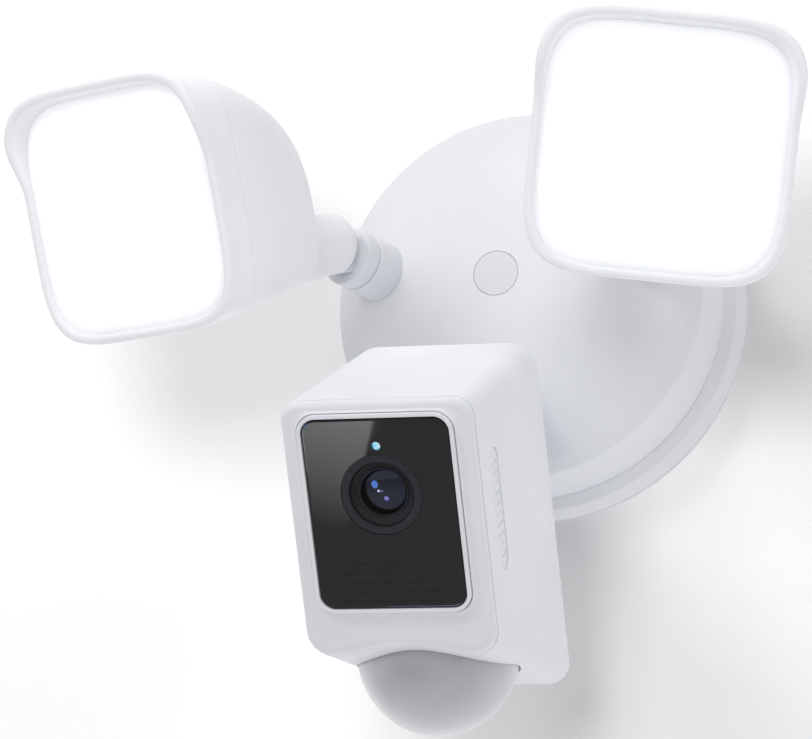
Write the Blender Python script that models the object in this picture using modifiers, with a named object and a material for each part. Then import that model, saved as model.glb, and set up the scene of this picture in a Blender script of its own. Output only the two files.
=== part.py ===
"""Wall-mounted floodlight security camera: a round domed base, two lamp heads and a camera head.

Metres. World axes: +X right, +Z up, the wall is the plane Y = 0 and the object stands out of it along -Y.
Every piece is drawn in a local frame whose x points right, y up and z outwards, away from the wall.
"""

import math

import bmesh
import bpy
from mathutils import Matrix, Vector

# Shared fits
CLEARANCE = 0.0003
WALL = 0.0022
BOARD_THICKNESS = 0.0016
SHARP_DEG = 35
AXIS_MERGE = 0.00001

# Base: flange, cover and dome
FLANGE_RADIUS = 0.0700
FLANGE_LIP_HEIGHT = 0.0006
FLANGE_LIP_WIDTH = 0.0024
SHOULDER_INSET = 0.0020
SHOULDER_HEIGHT = 0.0073
COVER_SEAT_HEIGHT = 0.0100
COVER_FOOT_INSET = 0.0053
COVER_WALL_INSET = 0.0066
CREASE_INSET = 0.0103
CREASE_HEIGHT = 0.0366
EDGE_DROP = 0.0040
DOME_HEIGHT = 0.0593
DOME_RINGS = 5
TURN_STEPS = 36
SMALL_STEPS = 20
PIN_STEPS = 16
SCREW_STEPS = 12
PLATE_FLOOR = 0.0030
GASKET_THICKNESS = 0.0017
GASKET_WIDTH = 0.0100
SEAL_SIZE = 0.0017

# Base: centre bolt, bracket and inner parts
CAP_RADIUS = 0.0075
CAP_DEPTH = 0.0030
BOLT_RADIUS = 0.0025
BOLT_HEAD_RADIUS = 0.0045
BOLT_HEAD_HEIGHT = 0.0035
TUBE_RADIUS = 0.0100
TUBE_FOOT_HEIGHT = 0.0120
BRACKET_OVERHANG = 0.0071
BRACKET_WIDTH = 0.0220
BRACKET_BOSS_RADIUS = 0.0055
BRACKET_BOSS_HEIGHT = 0.0105
BRACKET_BLIND_DEPTH = 0.0032
BOX_SCREW_SPACING = 0.0889
BOX_SLOT_LENGTH = 0.0100
BOX_SLOT_WIDTH = 0.0050
SCREW_CIRCLE_INSET = 0.0180
SCREW_ANGLES_DEG = (50, 130, 222, 318)
SCREW_RADIUS = 0.0015
SCREW_LENGTH = 0.0160
SCREW_HEAD_RADIUS = 0.0030
SCREW_HEAD_HEIGHT = 0.0013
SCREW_BOSS_RADIUS = 0.0036
SCREW_BOSS_TOP = 0.0392
BOARD_INSET = 0.0260
BOARD_HOLE_RADIUS = 0.0130
BOARD_HEIGHT = 0.0157
STANDOFF_RADIUS = 0.0030
STANDOFF_INSET = 0.0050
TRANSFORMER_SIZE = (0.0220, 0.0180, 0.0150)
TRANSFORMER_PLACE = (-0.0230, 0.0200)
TRANSFORMER_ROUNDING = 0.0019
CAPACITOR_RADIUS = 0.0062
CAPACITOR_LENGTH = 0.0220
CAPACITOR_PLACE = (0.0230, 0.0200)
TERMINAL_SIZE = (0.0240, 0.0100, 0.0110)
TERMINAL_PLACE = (0.0, -0.0260)
TERMINAL_WAYS = 3
WIRE_HOLE_RADIUS = 0.0100
WIRE_HOLE_PLACE = (0.0, 0.0280)
GROMMET_LIP = 0.0016
GROMMET_MEMBRANE = 0.0010
GROMMET_BORE_RADIUS = 0.0065

# Arms: socket, knuckle and pin. Distances run along the arm from the tilt pin.
NECK_RADIUS = 0.0110
BALL_STEPS = 3
BALL_POLE_DEG = 80
SOCKET_RADIUS = 0.0100
SPIGOT_RADIUS = 0.0080
SPIGOT_INSIDE = 0.0050
SHAFT_RADIUS = 0.0060
COLLAR_RADIUS = 0.0098
COLLAR_LENGTH = 0.0057
COLLAR_GAP = 0.0008
TONGUE_THICKNESS = 0.0080
TONGUE_HEIGHT = 0.0140
PIN_RADIUS = 0.0025
PIN_WALL = 0.0022
WASHER_THICKNESS = 0.0010
WASHER_RADIUS = 0.0085
NUT_THICKNESS = 0.0050
NUT_ACROSS_FLATS = 0.0170
LAMP_PIVOT = (0.0540, 0.0109, 0.0751)
LAMP_ARM_OUTWARD_DEG = 20.8
LAMP_ARM_UP_DEG = 4.8
CAMERA_ARM_DOWN_DEG = 28.8
CAMERA_PIVOT_REACH = 0.0416
LEFT_SWIVEL_DEG = 4.3
LEFT_TILT_DEG = 25.4
RIGHT_SWIVEL_DEG = 6.1
RIGHT_TILT_DEG = 25.9
CAMERA_SWIVEL_DEG = 4.1
CAMERA_TILT_DEG = 3.4

# Lamp heads
LAMP_HALF = 0.0403
LAMP_FACE_DISTANCE = 0.0943
LAMP_RIM_DEPTH = 0.0131
LAMP_BACK_DISTANCE = 0.0245
LAMP_FLOOR_DROP = 0.0062
LAMP_SQUARENESS = 4.8
ROUND = 2.0
LAMP_POINTS = 32
CORNER_GATHER = 0.4
LAMP_BODY_RINGS = 8
LAMP_RING_GATHER = 2.4
LAMP_SWELL_ROOT = 0.35
RIM_THICKNESS = 0.0030
RIM_NECK_IN = 0.0008
HOOD_LENGTH = 0.0050
HOOD_FLARE = 0.0014
HOOD_START = 0.23
HOOD_END = 0.70
HOOD_LEAST = 0.0008
LENS_THICKNESS = 0.0034
LENS_SINK = 0.0013
LENS_CHAMFER = 0.0010
LENS_LEDGE = 0.0034
LENS_GASKET_THICKNESS = 0.0010
HEAT_SINK_DISTANCE = 0.0600
HEAT_SINK_THICKNESS = 0.0030
HEAT_SINK_FINS = 5
HEAT_SINK_FIN_LENGTH = 0.0160
HEAT_SINK_FIN_THICKNESS = 0.0022
HEAT_SINK_FIN_PITCH = 0.0090
LED_ROWS = 3
LED_PITCH = 0.0150
LED_SIZE = 0.0050
HEAT_SINK_FIN_MARGIN = 0.0050
LED_HEIGHT = 0.0010
LED_BOARD_MARGIN = 0.0030

# Camera head. Distances run forwards from the tilt pin.
CAMERA_HALF_WIDTH = 0.0298
CAMERA_TOP = 0.0443
CAMERA_FRONT = 0.1016
CAMERA_REAR = 0.0216
CAMERA_FRONT_BOTTOM = -0.0354
CAMERA_BOTTOM_SLOPE = 0.50
CAMERA_TOP_FALL = 0.0060
CAMERA_FRONT_CORNER = 0.0057
CAMERA_REAR_CORNER = 0.0090
CAMERA_BOTTOM_CORNER = 0.0080
CAMERA_EDGE = 0.0025
CORNER_STEPS = 4
EDGE_STEPS = 2
FRONT_SHELL_DEPTH = 0.0028
WINDOW_WIDTH = 0.0454
WINDOW_HEIGHT = 0.0591
WINDOW_CORNER = 0.0045
WINDOW_CENTRE_UP = 0.0097
WINDOW_SINK = 0.0004
WINDOW_THICKNESS = 0.0022
WINDOW_LEDGE = 0.0022
PLATEAU_HEIGHT = 0.0024
PLATEAU_LIP = 0.0014
PLATEAU_SPREAD = 0.0024
PLATEAU_WAIST = 0.35
LENS_UP = 0.0060
BARREL_RADIUS = 0.0125
BARREL_MOUTH_RADIUS = 0.0098
BARREL_LENGTH = 0.0256
BARREL_REAR_RADIUS = 0.0085
LENS_GLASS_RADIUS = 0.0052
LENS_GLASS_SINK = 0.0050
LENS_GLASS_BULGE = 0.0016
LENS_GLASS_THICKNESS = 0.0030
LENS_GLASS_RINGS = 3
LIGHT_PIPE_RADIUS = 0.0013
LIGHT_PIPE_UP = 0.0152
LIGHT_PIPE_LENGTH = 0.0070
SENSOR_BOARD_SIZE = 0.0320
MAIN_BOARD_HEIGHT = 0.0560
MAIN_BOARD_DEPTH = 0.0416
SPEAKER_RADIUS = 0.0105
SPEAKER_DEPTH = 0.0070
GRILLE_LENGTH = 0.0380
GRILLE_WIDTH = 0.0090
GRILLE_DEPTH = 0.0183
GRILLE_UP = 0.0040
GRILLE_SINK = 0.0006
GRILLE_SLOTS = 6
GRILLE_SLOT_HEIGHT = 0.0014
GRILLE_SLOT_PITCH = 0.0050
GRILLE_SLOT_MARGIN = 0.0022
PIR_DEPTH = 0.0348
PIR_RADIUS = 0.02505
PIR_CENTRE_SINK = 0.0043
PIR_WALL = 0.0012
PIR_FLANGE_WIDTH = 0.0008
PIR_FLANGE_SINK = 0.0014
PIR_FLANGE_THICKNESS = 0.0014
PIR_SKIRT = 0.0065
PIR_CAN_RADIUS = 0.0046
PIR_CAN_HEIGHT = 0.0040
PIR_RINGS = 5
PIR_STEPS = 28

# Sizes that follow from the ones above
SHOULDER_RADIUS = FLANGE_RADIUS - SHOULDER_INSET
COVER_FOOT_RADIUS = FLANGE_RADIUS - COVER_FOOT_INSET
COVER_WALL_RADIUS = FLANGE_RADIUS - COVER_WALL_INSET
CREASE_RADIUS = FLANGE_RADIUS - CREASE_INSET
SCREW_CIRCLE_RADIUS = FLANGE_RADIUS - SCREW_CIRCLE_INSET
BOARD_RADIUS = FLANGE_RADIUS - BOARD_INSET
STANDOFF_CIRCLE_RADIUS = BOARD_RADIUS - STANDOFF_INSET
BRACKET_LENGTH = BOX_SCREW_SPACING + BRACKET_OVERHANG
PARTING_DISTANCE = CAMERA_FRONT - FRONT_SHELL_DEPTH
PLATEAU_FRONT = CAMERA_FRONT + PLATEAU_HEIGHT
WINDOW_FRONT = PLATEAU_FRONT - WINDOW_SINK
BARREL_REAR = WINDOW_FRONT - BARREL_LENGTH
MAIN_BOARD_DISTANCE = CAMERA_FRONT - MAIN_BOARD_DEPTH
GRILLE_DISTANCE = CAMERA_FRONT - GRILLE_DEPTH
PIR_DISTANCE = CAMERA_FRONT - PIR_DEPTH
DOME_SAG = DOME_HEIGHT - CREASE_HEIGHT
DOME_SPHERE = (CREASE_RADIUS**2 + DOME_SAG**2) / (2 * DOME_SAG)
DOME_CENTRE = DOME_HEIGHT - DOME_SPHERE
PLATE_BACK = GASKET_THICKNESS + CLEARANCE
PLATE_TOP = PLATE_BACK + PLATE_FLOOR
COLLAR_FRONT = NECK_RADIUS + COLLAR_GAP
SOCKET_FRONT = COLLAR_FRONT + COLLAR_LENGTH + CLEARANCE
LAMP_RIM_BACK = LAMP_FACE_DISTANCE - LAMP_RIM_DEPTH
LAMP_CENTRE_UP = LAMP_HALF - RIM_NECK_IN - NECK_RADIUS - LAMP_FLOOR_DROP

PARTS_NAME = "floodlight_security_camera"


def clear_scene():
    for obj in list(bpy.data.objects):
        bpy.data.objects.remove(obj, do_unlink=True)


def new_collection(name, hidden):
    collection = bpy.data.collections.new(name)
    bpy.context.scene.collection.children.link(collection)
    collection.hide_render = hidden
    return collection


def material(name, colour, roughness, metallic=0.0):
    """A Principled BSDF with one colour, in linear values."""
    made = bpy.data.materials.new(name)
    made.use_nodes = True
    shader = made.node_tree.nodes["Principled BSDF"]
    shader.inputs["Base Color"].default_value = (*colour, 1.0)
    shader.inputs["Roughness"].default_value = roughness
    shader.inputs["Metallic"].default_value = metallic
    return made


def local_frame(name, matrix):
    """An empty that carries the pieces of one group; it sits on the group's joint axis."""
    empty = bpy.data.objects.new(name, None)
    parts.objects.link(empty)
    empty.empty_display_size = NECK_RADIUS
    empty.matrix_world = matrix
    return empty


def mesh_of(bm, name):
    bmesh.ops.recalc_face_normals(bm, faces=bm.faces)
    mesh = bpy.data.meshes.new(name)
    bm.to_mesh(mesh)
    bm.free()
    mesh.shade_smooth()
    mesh.set_sharp_from_angle(angle=math.radians(SHARP_DEG))
    return mesh


def add_part(name, mesh, frame, look):
    obj = bpy.data.objects.new(name, mesh)
    parts.objects.link(obj)
    obj.parent = frame
    mesh.materials.append(look)
    return obj


def add_cutter(name, mesh, frame):
    obj = bpy.data.objects.new(name, mesh)
    cutters.objects.link(obj)
    obj.parent = frame
    obj.hide_render = True
    obj.display_type = "WIRE"
    return obj


def boolean(obj, tool, operation):
    modifier = obj.modifiers.new(operation.lower(), "BOOLEAN")
    modifier.operation = operation
    modifier.solver = "EXACT"
    modifier.object = tool


def cut(obj, tool):
    boolean(obj, tool, "DIFFERENCE")


def join(obj, tool):
    boolean(obj, tool, "UNION")


def cylinder(name, radius, low, high, place=(0.0, 0.0), segments=SMALL_STEPS, axis="Z"):
    """A round bar from low to high along an axis; place is where it stands across that axis."""
    bm = bmesh.new()
    depth = high - low
    bmesh.ops.create_cone(bm, cap_ends=True, segments=segments, radius1=radius, radius2=radius, depth=depth)
    bmesh.ops.translate(bm, verts=bm.verts, vec=(place[0], place[1], (low + high) / 2))
    if axis == "X":
        turn = Matrix(((0, 0, 1), (1, 0, 0), (0, 1, 0)))
        bmesh.ops.transform(bm, verts=bm.verts, matrix=turn.to_4x4())
    return mesh_of(bm, name)


def box(name, low, high):
    bm = bmesh.new()
    size = Vector(high) - Vector(low)
    middle = (Vector(high) + Vector(low)) / 2
    matrix = Matrix.Translation(middle) @ Matrix.Diagonal((*size, 1.0))
    bmesh.ops.create_cube(bm, size=1.0, matrix=matrix)
    return mesh_of(bm, name)


def loft(name, rings, ring_of_rings=False):
    """Skins a row of rings that have the same number of points; a ring of rings closes on itself."""
    bm = bmesh.new()
    rows = [[bm.verts.new(point) for point in ring] for ring in rings]
    pairs = list(zip(rows, rows[1:]))
    if ring_of_rings:
        pairs.append((rows[-1], rows[0]))
    else:
        bm.faces.new(rows[0])
        bm.faces.new(rows[-1])
    for first, second in pairs:
        for i, corner in enumerate(first):
            after = (i + 1) % len(first)
            bm.faces.new((corner, first[after], second[after], second[i]))
    return mesh_of(bm, name)


def profile_mesh(name, points, closed):
    """Edges in the XZ plane, radius along x and height along z, for a Screw modifier."""
    mesh = bpy.data.meshes.new(name)
    corners = [(radius, 0.0, height) for radius, height in points]
    edges = [(i, i + 1) for i in range(len(points) - 1)]
    if closed:
        edges.append((len(points) - 1, 0))
    mesh.from_pydata(corners, edges, [])
    return mesh


def turn(obj, steps):
    screw = obj.modifiers.new("turned", "SCREW")
    screw.steps = steps
    screw.render_steps = steps
    screw.use_merge_vertices = True
    screw.merge_threshold = AXIS_MERGE
    return obj


def turned_part(name, points, closed, steps, frame, look):
    return turn(add_part(name, profile_mesh(name, points, closed), frame, look), steps)


def turned_cutter(name, points, closed, steps, frame):
    return turn(add_cutter(name, profile_mesh(name, points, closed), frame), steps)


def ring_profile(inner, outer, low, high):
    return [(inner, high), (outer, high), (outer, low), (inner, low)]


def squircle(half, centre_up, distance, power):
    """Rounded square whose sides bow a little, as points round the z axis."""
    points = []
    for i in range(LAMP_POINTS):
        even = 2 * math.pi * (i + 0.5) / LAMP_POINTS
        angle = even + CORNER_GATHER * math.sin(4 * even) / 4
        across = math.cos(angle)
        along = math.sin(angle)
        radius = half / (abs(across) ** power + abs(along) ** power) ** (1 / power)
        points.append(Vector((radius * across, centre_up + radius * along, distance)))
    return points


def rounded_rectangle(width, height, radius, centre_up, distance):
    corners = [
        (width / 2, height / 2),
        (-width / 2, height / 2),
        (-width / 2, -height / 2),
        (width / 2, -height / 2),
    ]
    flat = rounded_polygon(corners, [radius] * len(corners), 0.0)
    return [Vector((x, centre_up + y, distance)) for x, y in flat]


def rounded_polygon(corners, radii, inset):
    """Convex polygon, counterclockwise, drawn inwards by inset, with an arc at each corner."""
    count = len(corners)
    points = []
    for i, corner in enumerate(corners):
        here = Vector(corner)
        to_last = (Vector(corners[i - 1]) - here).normalized()
        to_next = (Vector(corners[(i + 1) % count]) - here).normalized()
        half_angle = to_last.angle(to_next) / 2
        middle = (to_last + to_next).normalized()
        radius = max(radii[i] - inset, CLEARANCE)
        centre = here + middle * ((inset + radius) / math.sin(half_angle))
        sweep = math.pi - 2 * half_angle
        start = math.atan2(-middle.y, -middle.x) - sweep / 2
        for step in range(CORNER_STEPS + 1):
            angle = start + sweep * step / CORNER_STEPS
            points.append((centre.x + radius * math.cos(angle), centre.y + radius * math.sin(angle)))
    return points


def dome_at(radius, inset=0.0):
    return DOME_CENTRE + math.sqrt((DOME_SPHERE - inset) ** 2 - radius**2)


def arm_matrix(pivot, outward_deg, up_deg):
    """Frame at the tilt pin whose z runs along the arm, away from the base."""
    side, up, out = pivot
    place = Matrix.Translation((side, -out, up))
    turn_out = Matrix.Rotation(math.radians(outward_deg), 4, "Z")
    stand = Matrix.Rotation(math.radians(90), 4, "X")
    raise_up = Matrix.Rotation(math.radians(-up_deg), 4, "X")
    return place @ turn_out @ stand @ raise_up


def reach_to_dome(matrix):
    """Distance back along the arm from the pin to the outside of the dome."""
    centre = Vector((0.0, -DOME_CENTRE, 0.0))
    ray = -matrix.col[2].to_3d()
    start = matrix.col[3].to_3d() - centre
    middle = -start.dot(ray)
    return middle - math.sqrt(middle**2 - start.length_squared + DOME_SPHERE**2)


def build_back_plate(frame):
    seat = COVER_FOOT_RADIUS - CLEARANCE
    rim_inside = CREASE_RADIUS
    lip_inside = FLANGE_RADIUS - FLANGE_LIP_WIDTH
    hole = BRACKET_BOSS_RADIUS + CLEARANCE
    points = [
        (rim_inside, COVER_SEAT_HEIGHT),
        (seat, COVER_SEAT_HEIGHT),
        (SHOULDER_RADIUS, SHOULDER_HEIGHT),
        (FLANGE_RADIUS, FLANGE_LIP_HEIGHT * 2),
        (FLANGE_RADIUS - FLANGE_LIP_HEIGHT, FLANGE_LIP_HEIGHT),
        (lip_inside, FLANGE_LIP_HEIGHT),
        (lip_inside, PLATE_BACK),
        (hole, PLATE_BACK),
        (hole, PLATE_TOP),
        (rim_inside, PLATE_TOP),
    ]
    plate = turned_part("back_plate", points, True, TURN_STEPS, frame, white_plastic)
    wire_hole = cylinder("wire_hole", WIRE_HOLE_RADIUS, 0.0, COVER_SEAT_HEIGHT, WIRE_HOLE_PLACE)
    cut(plate, add_cutter("wire_hole", wire_hole, frame))
    for number, angle_deg in enumerate(SCREW_ANGLES_DEG, 1):
        angle = math.radians(angle_deg)
        direction = Vector((math.cos(angle), math.sin(angle)))
        hole_name = f"screw_hole_{number}"
        hole_radius = SCREW_RADIUS + CLEARANCE
        hole_place = direction * SCREW_CIRCLE_RADIUS
        hole_mesh = cylinder(hole_name, hole_radius, 0.0, COVER_SEAT_HEIGHT, hole_place, SCREW_STEPS)
        cut(plate, add_cutter(hole_name, hole_mesh, frame))
        post_name = f"standoff_{number}"
        post = cylinder(
            post_name,
            STANDOFF_RADIUS,
            PLATE_TOP - PLATE_FLOOR / 2,
            BOARD_HEIGHT - CLEARANCE,
            direction * STANDOFF_CIRCLE_RADIUS,
            SCREW_STEPS,
        )
        join(plate, add_cutter(post_name, post, frame))

    gasket_outer = lip_inside - CLEARANCE
    gasket = ring_profile(gasket_outer - GASKET_WIDTH, gasket_outer, 0.0, GASKET_THICKNESS)
    turned_part("wall_gasket", gasket, True, TURN_STEPS, frame, black_rubber)

    seal_outer = COVER_FOOT_RADIUS - WALL - CLEARANCE
    seal_low = COVER_SEAT_HEIGHT + CLEARANCE
    seal = ring_profile(seal_outer - SEAL_SIZE, seal_outer, seal_low, seal_low + SEAL_SIZE)
    turned_part("cover_seal", seal, True, TURN_STEPS, frame, black_rubber)


def build_cover(frame, arm_frames):
    foot = COVER_SEAT_HEIGHT + CLEARANCE
    recess = CAP_RADIUS + CLEARANCE
    recess_floor = dome_at(recess) - CAP_DEPTH - CLEARANCE
    head_floor = recess_floor - BOLT_HEAD_HEIGHT - CLEARANCE
    outside = []
    inside = []
    for ring in range(DOME_RINGS + 1):
        share = ring / DOME_RINGS
        radius = recess + (CREASE_RADIUS - recess) * share
        outside.append((radius, dome_at(radius)))
        inner_radius = TUBE_RADIUS + (CREASE_RADIUS - WALL - TUBE_RADIUS) * share
        inside.append((inner_radius, dome_at(inner_radius, WALL)))
    edge = CREASE_HEIGHT - EDGE_DROP
    wall_outside = [(COVER_WALL_RADIUS, edge), (COVER_FOOT_RADIUS, foot)]
    wall_inside = [(COVER_FOOT_RADIUS - WALL, foot), (COVER_WALL_RADIUS - WALL, edge)]
    head_hole = BOLT_HEAD_RADIUS + CLEARANCE
    bore = BOLT_RADIUS + CLEARANCE
    tube = [
        (TUBE_RADIUS, TUBE_FOOT_HEIGHT),
        (bore, TUBE_FOOT_HEIGHT),
        (bore, head_floor),
        (head_hole, head_floor),
        (head_hole, recess_floor),
        (recess, recess_floor),
    ]
    points = outside + wall_outside + wall_inside + inside[::-1] + tube
    cover = turned_part("base_cover", points, True, TURN_STEPS, frame, white_plastic)
    boss_foot = PLATE_TOP + CLEARANCE
    for number, angle_deg in enumerate(SCREW_ANGLES_DEG, 1):
        angle = math.radians(angle_deg)
        place = (SCREW_CIRCLE_RADIUS * math.cos(angle), SCREW_CIRCLE_RADIUS * math.sin(angle))
        boss = cylinder(f"boss_{number}", SCREW_BOSS_RADIUS, boss_foot, SCREW_BOSS_TOP, place, SCREW_STEPS)
        join(cover, add_cutter(f"boss_{number}", boss, frame))
        pilot_top = PLATE_BACK + SCREW_LENGTH + CLEARANCE
        pilot = cylinder(f"pilot_{number}", SCREW_RADIUS + CLEARANCE, 0.0, pilot_top, place, SCREW_STEPS)
        cut(cover, add_cutter(f"pilot_{number}", pilot, frame))
        screw_points = [
            (0.0, PLATE_BACK + SCREW_LENGTH),
            (SCREW_RADIUS, PLATE_BACK + SCREW_LENGTH),
            (SCREW_RADIUS, PLATE_BACK - CLEARANCE),
            (SCREW_HEAD_RADIUS, PLATE_BACK - CLEARANCE),
            (SCREW_HEAD_RADIUS, PLATE_BACK - CLEARANCE - SCREW_HEAD_HEIGHT),
            (0.0, PLATE_BACK - CLEARANCE - SCREW_HEAD_HEIGHT),
        ]
        screw = turned_part(f"cover_screw_{number}", screw_points, False, SCREW_STEPS, frame, steel)
        screw.location = (*place, 0.0)
    for arm_name, arm_frame in arm_frames.items():
        reach = reach_to_dome(arm_frame.matrix_world)
        hole_name = f"{arm_name}_socket_hole"
        hole = cylinder(hole_name, SPIGOT_RADIUS + CLEARANCE, -2 * reach, -reach / 2)
        cut(cover, add_cutter(hole_name, hole, arm_frame))

    cap_top = [(radius, dome_at(radius)) for radius in (0.0, CAP_RADIUS / 2, CAP_RADIUS)]
    cap_bottom = recess_floor + CLEARANCE
    cap_points = cap_top + [(CAP_RADIUS, cap_bottom), (0.0, cap_bottom)]
    turned_part("centre_cap", cap_points, False, SMALL_STEPS, frame, white_rubber)

    head_low = head_floor + CLEARANCE
    bolt_points = [
        (0.0, head_low + BOLT_HEAD_HEIGHT),
        (BOLT_HEAD_RADIUS, head_low + BOLT_HEAD_HEIGHT),
        (BOLT_HEAD_RADIUS, head_low),
        (BOLT_RADIUS, head_low),
        (BOLT_RADIUS, BRACKET_BLIND_DEPTH + CLEARANCE),
        (0.0, BRACKET_BLIND_DEPTH + CLEARANCE),
    ]
    turned_part("mounting_bolt", bolt_points, False, PIN_STEPS, frame, steel)


def build_bracket(frame):
    half_length = BRACKET_LENGTH / 2
    half_width = BRACKET_WIDTH / 2
    high = (half_length, half_width, GASKET_THICKNESS)
    bar = box("mounting_bracket", (-half_length, -half_width, 0.0), high)
    bracket = add_part("mounting_bracket", bar, frame, steel)
    boss = cylinder("bracket_boss", BRACKET_BOSS_RADIUS, GASKET_THICKNESS / 2, BRACKET_BOSS_HEIGHT)
    join(bracket, add_cutter("bracket_boss", boss, frame))
    thread_radius = BOLT_RADIUS + CLEARANCE
    thread_top = 2 * BRACKET_BOSS_HEIGHT
    thread = cylinder(
        "bracket_thread", thread_radius, BRACKET_BLIND_DEPTH, thread_top, segments=PIN_STEPS
    )
    cut(bracket, add_cutter("bracket_thread", thread, frame))
    for side in (-1, 1):
        slot_name = f"box_slot_{side + 2}"
        slot = rounded_rectangle(BOX_SLOT_LENGTH, BOX_SLOT_WIDTH, BOX_SLOT_WIDTH / 2 - CLEARANCE, 0.0, 0.0)
        shift = Vector((side * (BOX_SCREW_SPACING - BOX_SLOT_WIDTH) / 2, 0.0, 0.0))
        rings = [[point + shift + Vector((0.0, 0.0, z)) for point in slot] for z in (-WALL, 2 * WALL)]
        cut(bracket, add_cutter(slot_name, loft(slot_name, rings), frame))


def build_electronics(frame):
    board_top = BOARD_HEIGHT + BOARD_THICKNESS
    disc = ring_profile(BOARD_HOLE_RADIUS, BOARD_RADIUS, BOARD_HEIGHT, board_top)
    turned_part("driver_board", disc, True, TURN_STEPS, frame, circuit_board)
    seat = board_top + CLEARANCE

    def standing_box(name, size, place, look):
        low = (place[0] - size[0] / 2, place[1] - size[1] / 2, seat)
        high = (place[0] + size[0] / 2, place[1] + size[1] / 2, seat + size[2])
        return add_part(name, box(name, low, high), frame, look)

    transformer = standing_box("transformer", TRANSFORMER_SIZE, TRANSFORMER_PLACE, copper_tape)
    bevel = transformer.modifiers.new("rounded", "BEVEL")
    bevel.width = TRANSFORMER_ROUNDING
    bevel.segments = 2

    capacitor = cylinder(
        "bulk_capacitor",
        CAPACITOR_RADIUS,
        CAPACITOR_PLACE[0] - CAPACITOR_LENGTH / 2,
        CAPACITOR_PLACE[0] + CAPACITOR_LENGTH / 2,
        (CAPACITOR_PLACE[1], seat + CAPACITOR_RADIUS),
        axis="X",
    )
    add_part("bulk_capacitor", capacitor, frame, dark_sleeve)

    block = standing_box("terminal_block", TERMINAL_SIZE, TERMINAL_PLACE, green_nylon)
    pitch = TERMINAL_SIZE[0] / TERMINAL_WAYS
    for way in range(TERMINAL_WAYS):
        place = (TERMINAL_PLACE[0] + pitch * (way - (TERMINAL_WAYS - 1) / 2), TERMINAL_PLACE[1])
        name = f"terminal_hole_{way + 1}"
        floor = seat + TERMINAL_SIZE[2] / 2
        hole = cylinder(name, pitch / 4, floor, floor + TERMINAL_SIZE[2], place, SCREW_STEPS)
        cut(block, add_cutter(name, hole, frame))

    outer = WIRE_HOLE_RADIUS - CLEARANCE
    flange_low = PLATE_TOP + CLEARANCE
    points = [
        (0.0, PLATE_BACK + GROMMET_MEMBRANE),
        (GROMMET_BORE_RADIUS, PLATE_BACK + GROMMET_MEMBRANE),
        (GROMMET_BORE_RADIUS, flange_low + GROMMET_LIP),
        (outer + GROMMET_LIP, flange_low + GROMMET_LIP),
        (outer + GROMMET_LIP, flange_low),
        (outer, flange_low),
        (outer, PLATE_BACK),
        (0.0, PLATE_BACK),
    ]
    grommet = turned_part("wire_grommet", points, False, SMALL_STEPS, frame, black_rubber)
    grommet.location = (*WIRE_HOLE_PLACE, 0.0)


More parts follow.
